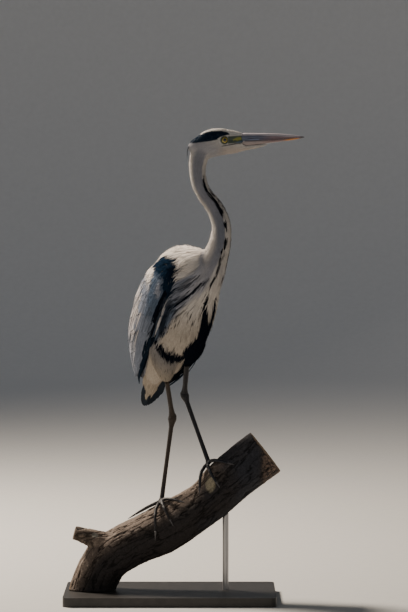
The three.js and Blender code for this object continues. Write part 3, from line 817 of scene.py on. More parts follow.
class Coat:
    """Feathers gathered for one piece."""

    def __init__(self, name):
        self.name = name
        self.points, self.faces, self.tints, self.vanes, self.uvs, self.rims = [], [], [], [], [], []
        self.count = 0

    def add(self, path, up, width, outline, tint, root_uv, lift, camber=0.12, tip_tint=None, seed=1,
            patch=None, edge_light=0.0, ragged=0.08, lean=0.0, quill=0.0):
        """Adds one closed vane for each path; path and up are (feathers, stations, 3)."""
        if not len(path):
            return
        chance = np.random.default_rng(seed)
        stations = np.array([stop[0] for stop in OUTLINES[outline]])
        widths = np.array([stop[1] for stop in OUTLINES[outline]])
        feathers, rings = len(path), len(stations) - 2
        middle, above = at_stations(path, up, stations)
        rise = np.asarray(lift)[..., None] * (stations[None, :] ** 1.3) - 0.25 * (1 - stations[None, :])
        half = np.asarray(width)[:, None] * 0.5 * widths[None, :]
        points = vane_points(middle, above, rise, half, camber, ragged, lean, chance)
        each = points.shape[1]
        starts = self.count + np.arange(feathers)[:, None, None] * each
        self.faces.append((vane_faces(rings)[None] + starts).reshape(-1, 3))
        self.count += feathers * each

        along = np.concatenate(([0], np.repeat(stations[1:-1], 3), [1]))
        beside = np.concatenate(([0], np.tile((-1, 0, 1), rings), [0]))
        wide = np.concatenate(([0], np.repeat(widths[1:-1], 3), [0]))
        reach = beside[None] * wide[None] * np.asarray(width)[:, None] / 2
        length = np.linalg.norm(path[:, -1] - path[:, 0], axis=1)
        random = chance.random(feathers)
        vane = np.stack((reach, along[None] * length[:, None],
                         np.broadcast_to(random[:, None], reach.shape)), axis=2)
        colour = vane_colours(tint, tip_tint, along, beside, edge_light, quill, random)
        if patch is None:
            patch = plain((UV_PATCH, UV_PATCH), feathers)
        spot = np.stack(np.broadcast_arrays(beside[None] / 2, along[None] - 0.5), axis=2)
        uv = root_uv[:, None] + spot * patch[:, None]
        self.points.append(points.reshape(-1, 3))
        self.tints.append(colour.reshape(-1, 3))
        self.vanes.append(vane.reshape(-1, 3))
        self.uvs.append(uv.reshape(-1, 2))
        rim = np.abs(beside)
        rim[[0, -1]] = 1
        self.rims.append(np.tile(rim > 0, feathers))

    def piece(self, material, slot):
        points, faces = np.concatenate(self.points), np.concatenate(self.faces)
        mesh = new_mesh(self.name, points, faces)
        set_tint(mesh, np.concatenate(self.tints))
        set_vector(mesh, "vane", np.concatenate(self.vanes))
        set_uv(mesh, np.concatenate(self.uvs)[faces])
        ends = np.empty(len(mesh.edges) * 2, dtype=np.int32)
        mesh.edges.foreach_get("vertices", ends)
        crisp = np.concatenate(self.rims)[ends.reshape(-1, 2)].all(axis=1)
        mesh.attributes.new("sharp_edge", "BOOLEAN", "EDGE").data.foreach_set("value", crisp)
        mesh.materials.append(material)
        piece = new_object(self.name, mesh)
        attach(piece, "root")
        return piece


DARK_TUFT = 0.45  # how bright the odd dark tufts are beside the others


def strewn(coat, skin, chosen, spacing, length, width, outline, lift, seed, wander=0.12, steps=3, at=0.7,
           dark=0.0, **look):
    """Covers the chosen triangles with feathers of one kind, tinted as the skin is near their tips."""
    roots, faces = scattered(skin, chosen, spacing, seed)
    if not len(roots):
        return
    chance = np.random.default_rng(seed + 500)
    lengths = length * (1 + 0.18 * chance.normal(size=len(roots)).clip(-2, 2))
    widths = width * (1 + 0.15 * chance.normal(size=len(roots)).clip(-2, 2))
    turn = wander * chance.normal(size=len(roots))
    path, up, marks = walked(skin, roots, faces, lengths, steps, turn)
    seen = min(int(round(at * steps)), steps)
    tint = skin.colours_on(marks[:, seen], path[:, seen])
    tint = tint * np.where(chance.random(len(roots)) < dark, DARK_TUFT, 1.0)[:, None]
    lifts = lift * (1 + 0.45 * chance.normal(size=len(roots)).clip(-1.8, 1.8))
    coat.add(path, up, widths, outline, tint, skin.root_uv(faces, roots), lifts, seed=seed, **look)


# ---------------------------------------------------------------- materials
def node(tree, kind, **values):
    made = tree.nodes.new(kind)
    for key, value in values.items():
        if key in made.inputs:
            made.inputs[key].default_value = value
        else:
            setattr(made, key, value)
    return made


def new_material(name, roughness, specular):
    """A material with nodes, its node tree, its shader, and the mesh's own paint."""
    material = bpy.data.materials.new(name)
    material.use_nodes = True
    tree = material.node_tree
    shader = tree.nodes["Principled BSDF"]
    shader.inputs["Roughness"].default_value = roughness
    shader.inputs["Specular IOR Level"].default_value = specular
    return material, tree, shader, node(tree, "ShaderNodeAttribute", attribute_name="tint")


def coloured(tree, shader, paint, level):
    """The shader's colour is the paint made brighter or darker by the level."""
    colour = node(tree, "ShaderNodeVectorMath", operation="MULTIPLY")
    tree.links.new(paint.outputs["Color"], colour.inputs[0])
    tree.links.new(level, colour.inputs[1])
    tree.links.new(colour.outputs["Vector"], shader.inputs["Base Color"])


def raised(tree, shader, height, depth, strength):
    bump = node(tree, "ShaderNodeBump", Distance=depth, Strength=strength)
    tree.links.new(height, bump.inputs["Height"])
    tree.links.new(bump.outputs["Normal"], shader.inputs["Normal"])


def painted(name, roughness, bump_size=0.0, bump_depth=0.0, mottle=0.10, mottle_size=0.004, coat=0.0,
            stretch=None, specular=0.5):
    """A material whose colour is the mesh's own paint, mottled, with fine relief."""
    material, tree, shader, paint = new_material(name, roughness, specular)
    shader.inputs["Coat Weight"].default_value = coat
    shader.inputs["Coat Roughness"].default_value = 0.06
    place = node(tree, "ShaderNodeTexCoord")
    spot = place.outputs["Object"]
    if stretch:
        scale = node(tree, "ShaderNodeMapping", Scale=stretch)
        tree.links.new(spot, scale.inputs["Vector"])
        spot = scale.outputs["Vector"]
    cloud = node(tree, "ShaderNodeTexNoise", Scale=1 / mottle_size, Detail=4.0)
    tree.links.new(spot, cloud.inputs["Vector"])
    change = node(tree, "ShaderNodeMapRange")
    change.inputs["From Min"].default_value = 0.3
    change.inputs["From Max"].default_value = 0.7
    change.inputs["To Min"].default_value = 1 - mottle
    change.inputs["To Max"].default_value = 1 + mottle
    tree.links.new(cloud.outputs["Fac"], change.inputs["Value"])
    coloured(tree, shader, paint, change.outputs["Result"])
    if bump_depth:
        grain = node(tree, "ShaderNodeTexNoise", Scale=1 / bump_size, Detail=5.0)
        tree.links.new(spot, grain.inputs["Vector"])
        raised(tree, shader, grain.outputs["Fac"], bump_depth, 1.0)
    return material


BARB = 0.55  # millimetres between the barbs' stripes
SHAFT_HALF_WIDTH = 0.16


def plumage(name, roughness, contrast=0.12, shaft=0.2):
    """Vanes with a shaft and slanting barbs, painted with the tint of each feather, and without gloss."""
    material, tree, shader, paint = new_material(name, roughness, 0.0)
    vane = node(tree, "ShaderNodeAttribute", attribute_name="vane")
    parts = node(tree, "ShaderNodeSeparateXYZ")
    tree.links.new(vane.outputs["Vector"], parts.inputs["Vector"])

    def maths(operation, first, second=None):
        made = node(tree, "ShaderNodeMath", operation=operation)
        for number, value in enumerate((first, second)):
            if value is None:
                continue
            if isinstance(value, (int, float)):
                made.inputs[number].default_value = value
            else:
                tree.links.new(value, made.inputs[number])
        return made.outputs["Value"]

    off_shaft = maths("ABSOLUTE", parts.outputs["X"])
    slant = maths("SUBTRACT", parts.outputs["Y"], maths("MULTIPLY", off_shaft, 1.5))
    wave = maths("SINE", maths("MULTIPLY", slant, 2 * math.pi / BARB))
    uneven = node(tree, "ShaderNodeTexNoise", Scale=420.0, Detail=3.0)
    place = node(tree, "ShaderNodeTexCoord")
    tree.links.new(place.outputs["Object"], uneven.inputs["Vector"])
    rough_wave = maths("ADD", maths("MULTIPLY", wave, 0.5), maths("MULTIPLY", uneven.outputs["Fac"], 1.6))
    bright = maths("ADD", maths("MULTIPLY", maths("SUBTRACT", rough_wave, 0.8), contrast), 1.0)
    near_shaft = maths("LESS_THAN", off_shaft, SHAFT_HALF_WIDTH)
    level = maths("MULTIPLY", bright, maths("SUBTRACT", 1.0, maths("MULTIPLY", near_shaft, shaft)))
    coloured(tree, shader, paint, level)
    raised(tree, shader, rough_wave, 0.0001, 0.7)
    return material


# ---------------------------------------------------------------- the coat, region by region
BARE_ROUND_EYE = 8.0
BACK_FROM = 84  # degrees from the keel


class Places:
    """Where each triangle of the skin is on the bird, and which part of the coat covers it."""

    def __init__(self, skin):
        self.middle = skin.face_middle
        head, neck, trunk, wing, thigh = skin.face_shares.T
        self.along, self.out, self.up, angle = body_place(self.middle)
        self.turn = np.abs(angle)
        ahead, _, above = (self.middle - EYES).T
        eye_gap = np.hypot(ahead + EYE_BACK, above + EYE_BELOW)
        lore = (ahead > 4) & (ahead < 46)
        lore = lore & (above < stops_at(ahead, LORE_TOP)) & (above > stops_at(ahead, LORE_FOOT))
        feathered = (head > 0.5) & ~(((eye_gap < BARE_ROUND_EYE) & (above < 4.4)) | lore)
        self.face = feathered & (ahead > 8)
        self.crown = feathered & ~self.face
        self.neck = (head <= 0.5) & (neck > 0.4)
        elsewhere = (head <= 0.5) & (neck <= 0.4)
        self.trunk = (trunk >= neck) & (trunk >= wing) & (trunk >= thigh) & elsewhere
        self.breast = self.trunk & (self.turn < BACK_FROM)
        self.back = self.trunk & (self.turn >= BACK_FROM)
        self.thighs = (thigh > 0.4) & ~self.trunk
        self.wings = (wing > 0.45) & ~self.trunk & elsewhere & (thigh <= 0.4)
        self.near_neck = neck > 0.3
        self.near_wing = wing > 0.3


# Below, strewn is told the spacing, length, width, outline, lift and seed of a layer, in that order.
def head_coat(skin, at, material):
    """Hair-like feathers on the face, and short ones over the crown and the cheeks."""
    coat = Coat("coat_head")
    strewn(coat, skin, at.face, 0.82, 3.4, 0.80, "hair", 0.45, 21, wander=0.10, steps=2, camber=0.08)
    strewn(coat, skin, at.crown, 1.12, 6.4, 1.15, "lance", 0.7, 22, wander=0.10, steps=3, camber=0.08)
    coat.piece(material, "plumage")


def neck_coat(skin, at, material):
    coat = Coat("coat_neck")
    strewn(coat, skin, at.neck, 1.6, 12.0, 2.0, "lance", 1.3, 31, wander=0.10, edge_light=0.10, camber=0.08)
    strewn(coat, skin, at.neck, 2.6, 16.0, 0.9, "hair", 2.0, 32, wander=0.16, camber=0.15)
    coat.piece(material, "plumage")


def breast_coat(skin, at, material):
    coat = Coat("coat_breast")
    strewn(coat, skin, at.breast & (at.along > 40), 2.3, 26.0, 3.6, "lance", 2.3, 41, wander=0.13, steps=4,
           edge_light=0.12, camber=0.07, dark=0.05)
    strewn(coat, skin, at.breast & (at.along <= 40), 2.4, 24.0, 4.6, "lance", 2.3, 42, wander=0.14,
           edge_light=0.08, camber=0.07)
    coat.piece(material, "plumage")


def plume_coat(skin, at, material):
    """The long loose plumes that fall from the foot of the neck and over the grey sides of the breast."""
    coat = Coat("coat_plumes")
    plumed = at.near_neck & (at.middle[:, 2] < 668) | at.trunk & (at.along > 105)
    neck_turn = np.abs(neck_place(at.middle)[1] - neck_front(at.middle[:, 2]))
    front_turn = np.where(at.trunk, at.turn, neck_turn)
    strewn(coat, skin, plumed & (front_turn < 62), 5.0, 40.0, 3.6, "lance", 2.6, 43, steps=5,
           edge_light=0.12, at=0.5, camber=0.10)
    grey_side = at.trunk & (at.turn > stops_at(at.along, GREY_EDGE)) & (at.turn < 90) & (at.along > 30)
    strewn(coat, skin, grey_side, 4.6, 44.0, 4.4, "lance", 3.0, 44, wander=0.08, steps=5, edge_light=0.16,
           at=0.5, camber=0.10, dark=0.22)
    strewn(coat, skin, at.breast, 3.4, 26.0, 0.9, "hair", 3.2, 45, wander=0.22, camber=0.15)
    coat.piece(material, "plumage")


def back_coat(skin, at, material):
    coat = Coat("coat_back")
    strewn(coat, skin, at.back, 2.5, 32.0, 4.0, "lance", 2.2, 51, wander=0.08, steps=4, edge_light=0.10,
           camber=0.07)
    strewn(coat, skin, at.back, 3.0, 32.0, 0.9, "hair", 3.2, 52, wander=0.16, camber=0.15)
    coat.piece(material, "plumage")


def thigh_coat(skin, at, material):
    coat = Coat("coat_thighs")
    strewn(coat, skin, at.thighs, 2.0, 14.0, 3.2, "lance", 1.7, 61, dark=0.10, camber=0.07)
    strewn(coat, skin, at.thighs, 2.4, 16.0, 0.8, "hair", 2.4, 62, wander=0.2, camber=0.15)
    coat.piece(material, "plumage")


def wing_coat(skin, at, material, side, name):
    """Small coverts at the bend of the wing, larger ones behind them, and the rows of long feathers."""
    coat = Coat("coat_wing_" + name)
    this = at.wings & (np.sign(at.out) == side)
    strewn(coat, skin, this & (at.along > 56), 2.8, 17.0, 6.0, "round", 1.5, 71 + side, wander=0.07,
           edge_light=0.22, at=0.8, camber=0.06, quill=0.15)
    strewn(coat, skin, this & (at.along <= 56), 4.2, 34.0, 8.0, "round", 1.0, 81 + side, wander=0.05, steps=4,
           edge_light=0.18, at=0.8, camber=0.06)
    wing_rows(coat, skin, side)
    coat.piece(material, "plumage")


def scapular_coat(skin, at, material, side, name):
    coat = Coat("scapulars_" + name)
    draped = (at.near_wing | at.trunk) & (np.sign(at.out) == side) & (at.along < 118) & (at.along > -80)
    draped = draped & (at.up > stops_at(at.along, SCAPULAR_EDGE) + 5) & (at.turn < 178)
    scapulars(coat, skin, draped, side)
    coat.piece(material, "plumage")


def coat_pieces(skin):
    at = Places(skin)
    soft = plumage("plumage_soft", 0.72)
    close = plumage("plumage_close", 0.55, contrast=0.16, shaft=0.3)
    for lay in (head_coat, neck_coat, breast_coat, plume_coat, back_coat, thigh_coat):
        lay(skin, at, soft)
    for side, name in ((1, "right"), (-1, "left")):
        wing_coat(skin, at, close, side, name)
        scapular_coat(skin, at, close, side, name)
        primaries(close, side, name)


# ---------------------------------------------------------------- wing and tail feathers
def laid_outside(tree, along, up, side):
    """The outermost points of one side of the bird, at places given along the spine and up its side."""
    start = BODY + np.multiply.outer(along, FORWARD) + np.multiply.outer(up, UP) + RIGHT * (side * 220)
    aim = Vector(RIGHT * -side)
    found = np.empty_like(start)
    for number, place in enumerate(start.reshape(-1, 3)):
        hit = tree.ray_cast(Vector(place), aim)
        found.reshape(-1, 3)[number] = (np.nan,) * 3 if hit[0] is None else hit[0]
    return found


LONG_STATIONS = 7


def long_feathers(coat, tree, side, roots, tips, width, outline, tint, layer, seed, lift, root_uv, bow=0.0,
                  over=0.0, **look):
    """Feathers from roots to tips, rows of (along, up), laid on one side of the bird, the last on top."""
    share = np.linspace(0, 1, LONG_STATIONS)
    along = roots[:, :1] + (tips[:, :1] - roots[:, :1]) * share
    up = roots[:, 1:] + (tips[:, 1:] - roots[:, 1:]) * share + bow * np.sin(np.pi * share)
    path = laid_outside(tree, along, up, side)
    out = (path - BODY) @ RIGHT * side
    # Past the edge of the surface a vane keeps on the way it was going.
    for number in range(1, LONG_STATIONS):
        lost = np.isnan(out[:, number])
        out[lost, number] = out[lost, number - 1] - 2.0
    # A stiff vane bridges the hollows under it.
    for _ in range(3):
        out[:, 1:-1] = np.maximum(out[:, 1:-1], (out[:, :-2] + out[:, 2:]) / 2)
        out[:, 1:-1] = (out[:, :-2] + 2 * out[:, 1:-1] + out[:, 2:]) / 4
    path = BODY + along[..., None] * FORWARD + up[..., None] * UP + (out * side)[..., None] * RIGHT
    outward = unit(up[..., None] * UP * 0.8 + (out * side)[..., None] * RIGHT)
    path = path + outward * (np.arange(len(roots)) * layer + over)[:, None, None]
    wide = np.full(len(roots), float(width))
    coat.add(path, outward, wide, outline, tint, root_uv, np.zeros(len(roots)) + lift, seed=seed, **look)


def row_of(first, last, count, jitter, chance):
    """Points evenly from the first to the last, each put a little off its place."""
    first, last = np.array(first), np.array(last)
    share = np.linspace(0, 1, count)[:, None]
    return first + (last - first) * share + jitter * chance.normal(size=(count, 2))


def on_skin(skin, row, side, otherwise):
    """Where a row of (along, up) lies on one side of the skin, or the other place where there is no skin."""
    places = laid_outside(skin.tree, row[:, 0], row[:, 1], side)
    return np.where(np.isnan(places), otherwise, places)


ALL_WING = (0, 0, 0, 1.0, 0)  # the share of each region at a place that is wholly wing


def wing_rows(coat, skin, side):
    """The folded wing's secondaries, tertials and greater coverts, over the small coverts' skin."""
    chance = np.random.default_rng(300 + side)
    sets = (
        # first root, last root, first tip, last tip, how many, width, outline, layer, lift
        ((28, -25), (-24, 50), (-98, -4), (-146, 9), 17, 18, "blade", 0.09, 1.2),
        ((76, -18), (50, 20), (18, -20), (-8, 15), 11, 12.5, "round", 0.10, 2.4),
        ((98, -14), (78, 20), (58, -17), (40, 16), 10, 10, "round", 0.10, 2.4),
    )
    for number, (root0, root1, tip0, tip1, count, width, outline, layer, lift) in enumerate(sets):
        roots = row_of(root0, root1, count, 0.7, chance)
        tips = row_of(tip0, tip1, count, 1.2, chance)
        places = on_skin(skin, roots + (tips - roots) * 0.6, side, BODY + RIGHT * side * 50)
        tint = markings(places, plain(ALL_WING, count)) * (1 + 0.12 * chance.normal(size=(count, 1)))
        long_feathers(coat, skin.tree, side, roots, tips, width, outline, tint, layer, 310 + number,
                      lift=lift, root_uv=on_chart(on_skin(skin, roots, side, BODY), "wing"),
                      edge_light=0.35, quill=0.25, camber=0.06, ragged=0.05)
    edges = (
        # first root, last root, first tip, last tip, how many, width, colour
        ((122, -14), (96, -20), (62, -22), (8, -26), 10, 5.2, INK),
        ((114, -19), (64, -27), (78, -24), (14, -29), 7, 3.6, (0.46, 0.45, 0.46)),
    )
    for number, (root0, root1, tip0, tip1, count, width, colour) in enumerate(edges):
        roots = row_of(root0, root1, count, 0.8, chance)
        tips = row_of(tip0, tip1, count, 1.0, chance)
        long_feathers(coat, skin.tree, side, roots, tips, width, "lance", plain(colour, count), 0.1,
                      330 + number, lift=2.4, over=2.4,
                      root_uv=on_chart(on_skin(skin, roots, side, BODY), "wing"), camber=0.08)


def scapulars(coat, skin, draped, side):
    """Long narrow pale plumes over the wing and the back, and short dark flecks on them."""
    roots, faces = scattered(skin, draped, 4.6, 90 + side)
    chance = np.random.default_rng(95 + side)
    count = len(roots)
    along = body_place(roots)[0]
    length = (50 + 42 * smooth(along, -40, 90)) * (1 + 0.15 * chance.normal(size=count).clip(-2, 2))
    path, ups, _ = walked(skin, roots, faces, length, 6, 0.06 * chance.normal(size=count), follow=0.5)
    pale = mixed(plain(SCAPULAR, count), (0.38, 0.41, 0.48), (1 - smooth(along, -20, 75)) * 0.8)
    pale = pale * (0.78 + 0.34 * chance.random(count))[:, None]
    dark = chance.random(count) < 0.2
    pale[dark] = np.array(ASH) * 0.45
    width = np.where(dark, 2.6, 3.7) * (1 + 0.18 * chance.normal(size=count).clip(-2, 2))
    lift = (2.2 + 1.6 * smooth(along, -20, 60)) * (0.8 + 0.5 * chance.random(count))
    coat.add(path, ups, width, "lance", pale, skin.root_uv(faces, roots), lift, seed=97 + side,
             edge_light=-0.12, camber=0.10)
    strewn(coat, skin, draped, 8.0, 10.0, 1.9, "lance", 4.6, 88 + side, wander=0.25, steps=3, dark=1.0,
           camber=0.10)


# Where the primaries end, as (along, up): on the near side, and in the far side's lowest row.
PRIMARY_TIPS = ((-66, -18.5), (-84, -16.5), (-101, -13), (-117, -9), (-131, -5), (-144, -1), (-155, 2),
                (-163, 4))
HANGING_TIPS = ((-86, -55), (-104, -50), (-120, -44), (-134, -35), (-145, -27), (-154, -19), (-160, -13),
                (-164, -8))


def primaries(material, side, name):
    """The stack of long flight feathers that shows below and behind the folded wing."""
    nodes = ("primaries_" + name, "wing_" + name, "trunk")
    tree = tree_of(*together([closed_shape(node_name, grow=-0.9) for node_name in nodes]))
    chance = np.random.default_rng(400 + side)
    tips, last_root = np.array(PRIMARY_TIPS), (4, -24)
    width, lift, bow, layer = 11.0, 0.2, -2.0, 0.30
    if side < 0:
        # The far ones hang lower, bowed out round the vent, in four rows that run into each other.
        hang = np.repeat((0.0, 0.34, 0.67, 1.0), len(tips))
        tips, hanging = np.tile(tips, (4, 1)), np.tile(np.array(HANGING_TIPS, dtype=float), (4, 1))
        tips = tips + (hanging - tips) * (0.35 + 0.65 * hang)[:, None]
        width, lift, last_root, layer = 15.0, 1.5 + 6.0 * hang, (4, -18), 0.10
        bow = -(9.0 + (np.tile(np.interp(np.arange(8), (0, 3, 7), (5, 16, 15)), 4) * hang))[:, None]
    roots = row_of((22, -31), last_root, len(tips), 0.4, chance)
    tint = plain(FLIGHT, len(tips)) * (1 + 0.15 * chance.normal(size=(len(tips), 1)))
    coat = Coat("primaries_vanes_" + name)
    uv = np.stack((np.linspace(0.08, 0.92, len(tips)), np.full(len(tips), 0.5)), axis=1)
    patch = np.tile((0.8 / len(tips), 0.9), (len(tips), 1))
    long_feathers(coat, tree, side, roots, tips, width, "blade", tint, layer, 410 + side, lift=lift,
                  over=-1.5, root_uv=uv, patch=patch, edge_light=0.30, quill=-0.3, camber=0.10, ragged=0.03,
                  bow=bow)
    piece = coat.piece(material, "flight_feathers")
    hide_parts("primaries_" + name)


def in_trunk(along, left, up):
    """A point given along the spine, out to the left, and up, before the body's roll."""
    return (BODY + np.multiply.outer(along, FORWARD) - np.multiply.outer(left, LEVEL_RIGHT)
            + np.multiply.outer(up, LEVEL_UP))


TAIL_FEATHERS = 12
TAIL_STATIONS = 6
TAIL_ROOT = -104  # along the spine
TAIL_LENGTH, TAIL_OUTER_SHORTER = 117, 37
TAIL_SLATE = (0.019, 0.024, 0.032)
COVERT_COUNT, COVERT_WIDTH = 130, 10.0


def tail(material):
    """Twelve folded tail feathers, the outer ones shorter and under the middle ones."""
    share = np.linspace(0, 1, TAIL_STATIONS)
    number = np.arange(TAIL_FEATHERS) - (TAIL_FEATHERS - 1) / 2
    order = np.argsort(-np.abs(number), kind="stable")
    number = number[order]
    outwards = np.abs(number)[:, None] / 5.5
    along = TAIL_ROOT + share * (-TAIL_LENGTH + TAIL_OUTER_SHORTER * outwards**2)
    left = (1.5 * number[:, None]) * (1 - share) + share * (9.5 + 3.6 * number[:, None])
    stack = 0.55 * np.arange(TAIL_FEATHERS)[:, None] - 3.4
    up = -6.5 - 1.8 * share + stack * (1 - 0.35 * share) - 0.09 * number[:, None] ** 2
    path = in_trunk(along, left, up)
    ups = np.broadcast_to(LEVEL_UP, path.shape)
    coat = Coat("tail_vanes")
    tint = np.array(TAIL_SLATE) * np.tile((1.3, 0.8), TAIL_FEATHERS // 2)[:, None]
    uv = np.stack((0.05 + 0.9 * (order + 0.5) / TAIL_FEATHERS, np.full(TAIL_FEATHERS, 0.5)), axis=1)
    coat.add(path, ups, np.full(TAIL_FEATHERS, 16.5), "blade", tint, uv, np.zeros(TAIL_FEATHERS), seed=501,
             camber=0.06, patch=np.tile((0.06, 0.9), (TAIL_FEATHERS, 1)), edge_light=0.9, quill=-0.5,
             ragged=0.03, tip_tint=tint * 0.6)
    piece = coat.piece(material, "flight_feathers")
    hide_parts("tail")


def undertail_coverts(material):
    """The long pale feathers that close the body under the tail."""
    share = np.linspace(0, 1, TAIL_STATIONS)
    chance = np.random.default_rng(520)
    count = COVERT_COUNT
    place = chance.random(count)
    beside = chance.uniform(-1, 1, count)
    along = (-84 - 54 * place)[:, None] - share * (46 + 15 * chance.random(count))[:, None]
    depth = np.interp(-along, (84, 112, 150, 176, 200), (40, 24, 11, 9.5, 9.0))
    wide = np.interp(-along, (84, 112, 150, 176, 202), (26, 23, 19, 14, 6))
    centre = np.interp(-along, (112, 150, 176, 202), (-1, 2, 6, 8))
    left = centre - 3 * share + beside[:, None] * wide
    under = -6.5 - depth * np.sqrt(1 - 0.72 * beside[:, None] ** 2) + 2.2 * place[:, None]
    path = in_trunk(along, left, under)
    ups = -np.broadcast_to(LEVEL_UP, path.shape) + beside[:, None, None] * -LEVEL_RIGHT * 0.6
    coat = Coat("undertail_coverts")
    tint = plain(BUFF, count) * (0.75 + 0.35 * chance.random((count, 1)))
    uv = np.stack((0.5 + 0.4 * beside, 0.1 + 0.8 * place), axis=1)
    coat.add(path, unit(ups), np.full(count, COVERT_WIDTH), "lance", tint, uv, np.full(count, 1.0),
             seed=521, edge_light=0.08, camber=0.06)
    coat.piece(material, "plumage")


def crest(material):
    """Narrow black plumes that fall from the nape."""
    chance = np.random.default_rng(601)
    count = 14
    stops = np.array(((53, -96, 894.5), (45, -96.5, 890.5), (37.4, -97, 884), (34, -97, 875),
                      (33.4, -97, 864), (33, -97, 851)))
    reach = np.sort(chance.uniform(0.35, 1.0, count))
    reach[-2:] = 1.0
    share = np.linspace(0, 1, 6)
    path = np.empty((count, 6, 3))
    for k in range(3):
        path[:, :, k] = np.interp(reach[:, None] * share * 5, np.arange(6), stops[:, k])
    beside = chance.uniform(-1, 1, count)
    path[:, :, 1] += beside[:, None] * (4.0 - 3.2 * share * reach[:, None])
    path[:, :, 0] += np.abs(beside)[:, None] * 1.2 * (1 - share) + 1.2 * chance.random((count, 1)) * share
    ups = np.broadcast_to(unit(np.array((-0.75, 0, 0.45))), path.shape)
    coat = Coat("crest_vanes")
    uv = np.stack((np.linspace(0.1, 0.9, count), np.full(count, 0.5)), axis=1)
    coat.add(path, ups, np.full(count, 2.6), "lance", plain(INK, count), uv, np.full(count, 0.5), seed=602,
             patch=np.tile((0.04, 0.8), (count, 1)))
    piece = coat.piece(material, "crest_plumes")
    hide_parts("crest")


# ---------------------------------------------------------------- bare parts
def finished(name, points, quads, colours, material, nodes=()):
    """A piece with its paint and material, which stands for the nodes given."""
    mesh = new_mesh(name, points, triangles_of(quads))
    set_tint(mesh, colours)
    mesh.materials.append(material)
    piece = new_object(name, mesh)
    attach(piece, "root")
    if nodes:
        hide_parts(*nodes)
    return piece


# The bill's stops are ahead of the head's origin, or above the line where its two halves meet.
BILL_ROOT, BILL_TIP = 30, 152
MEETING_HEIGHT, MEETING_RISE = -4.6, 8.0
GROOVE = ((44, 4.8, 0.5), (58, 3.6, 0.35), (92, 1.6, 0.2))
NOSTRIL = ((45, 5.2, 0.5), (53, 4.4, 0.5))


def upper_paint(ahead, above, cut):
    """Blue-grey to mauve horn, with a painted highlight along its top, dark before the eye, and with painted
    shade in the cuts.
    """
    share = smooth(ahead, BILL_ROOT, BILL_TIP)
    colour = mixed(plain((0.105, 0.122, 0.178), len(ahead)), (0.21, 0.145, 0.16), smooth(ahead, 58, 98))
    # A painted highlight: pale along the top of the bill.
    pale = smooth(above, 7.0 * (1 - share) + 1.2, 10.5 * (1 - share) + 2.0) * 0.9
    colour = mixed(colour, (0.50, 0.45, 0.47), pale)
    blue = line_mark(ahead, above, ((34, 2, 1.0), (64, 1.2, 0.8)), 2.4) * 0.7
    colour = mixed(colour, (0.28, 0.33, 0.46), blue)
    dark_root = (1 - smooth(ahead, 34, 56)) * smooth(4.2 - above, 0, 2) * 0.8
    colour = mixed(colour, (0.040, 0.060, 0.080), dark_root)
    # Painted shade in the groove and the nostril.
    colour = mixed(colour, (0.02, 0.02, 0.03), cut)
    return mixed(colour, (0.17, 0.16, 0.17), smooth(ahead, 141, 149))


def lower_paint(ahead):
    """Mauve horn, orange before its dark tip."""
    colour = mixed(plain((0.285, 0.235, 0.23), len(ahead)), (0.22, 0.145, 0.15), smooth(ahead, 60, 96))
    colour = mixed(colour, (0.52, 0.21, 0.045), smooth(ahead, 108, 124) * (1 - smooth(ahead, 138, 146)))
    return mixed(colour, (0.03, 0.028, 0.035), smooth(ahead, 141, 149))


def bill():
    horn = painted("bill_horn", 0.34, 0.0016, 0.00012, mottle=0.14, mottle_size=0.003, stretch=(0.18, 1, 1),
                   coat=0.25)
    for name in ("bill_upper", "bill_lower"):
        upper = name == "bill_upper"
        points, quads = remeshed(*closed_shape(name), BILL_VOXEL)
        points = spread(points, edges_of(quads), 3)
        tuck = 1 - smooth(points[:, 0] - EYES[0], 30, 41)
        points += normals_of(points, quads) * (0.12 - 1.1 * tuck)[:, None]
        ahead, out, up = (points - EYES).T
        above = up - (MEETING_HEIGHT + (ahead - BILL_ROOT) / (BILL_TIP - BILL_ROOT) * MEETING_RISE)
        groove = line_mark(ahead, above, GROOVE, 1.6) * upper
        nostril = line_mark(ahead, above, NOSTRIL, 1.0) * upper
        depth = 0.55 * groove + 0.5 * nostril
        points -= np.stack((0 * ahead, np.sign(out), 0 * ahead), axis=1) * depth[:, None]
        if upper:
            colour = upper_paint(ahead, above, np.maximum(groove * 0.55, nostril))
        else:
            colour = lower_paint(ahead)
        # Painted shade: a dark line along the seam where the two halves meet.
        lip = (1 - smooth(np.abs(above + 0.1), 0.35, 0.9)) * (1 - smooth(ahead, 120, 140))
        colour = mixed(colour, (0.045, 0.035, 0.045), lip * 0.85)
        streaks = clouds(points * np.array((0.12, 1, 1)), 1.6, 12)
        colour = colour * (0.8 + 0.4 * streaks)[:, None]
        finished(name + "_horn", points, quads, colour, horn, (name,))


EYE_RINGS, EYE_SPOKES = 48, 72
# From the lid's edge: how far towards its rim, and how high over the eyeball.
LID_PROFILE = ((0.0, 0.10), (0.04, 0.55), (0.2, 0.95), (0.45, 0.95), (0.75, 0.55), (1.0, -0.1), (0.5, -0.3))


def eye_axes(side):
    """The way an eye looks, and the ways ahead and up over its face."""
    axis = unit(np.array((0.16, side * 1.0, 0.02)))
    ahead = unit(np.array((1.0, 0, 0)) - axis * axis[0])
    return axis, ahead, np.cross(ahead, axis) * -side


def round_eye(centre, axes, depth, size, tilt, turn):
    """Points round an eye, tilted from the way it looks and turned from ahead."""
    axis, ahead, above = axes
    return (centre + axis * (depth * np.cos(tilt))[..., None]
            + ahead * (size * np.sin(tilt) * np.cos(turn))[..., None]
            + above * (size * np.sin(tilt) * np.sin(turn))[..., None])


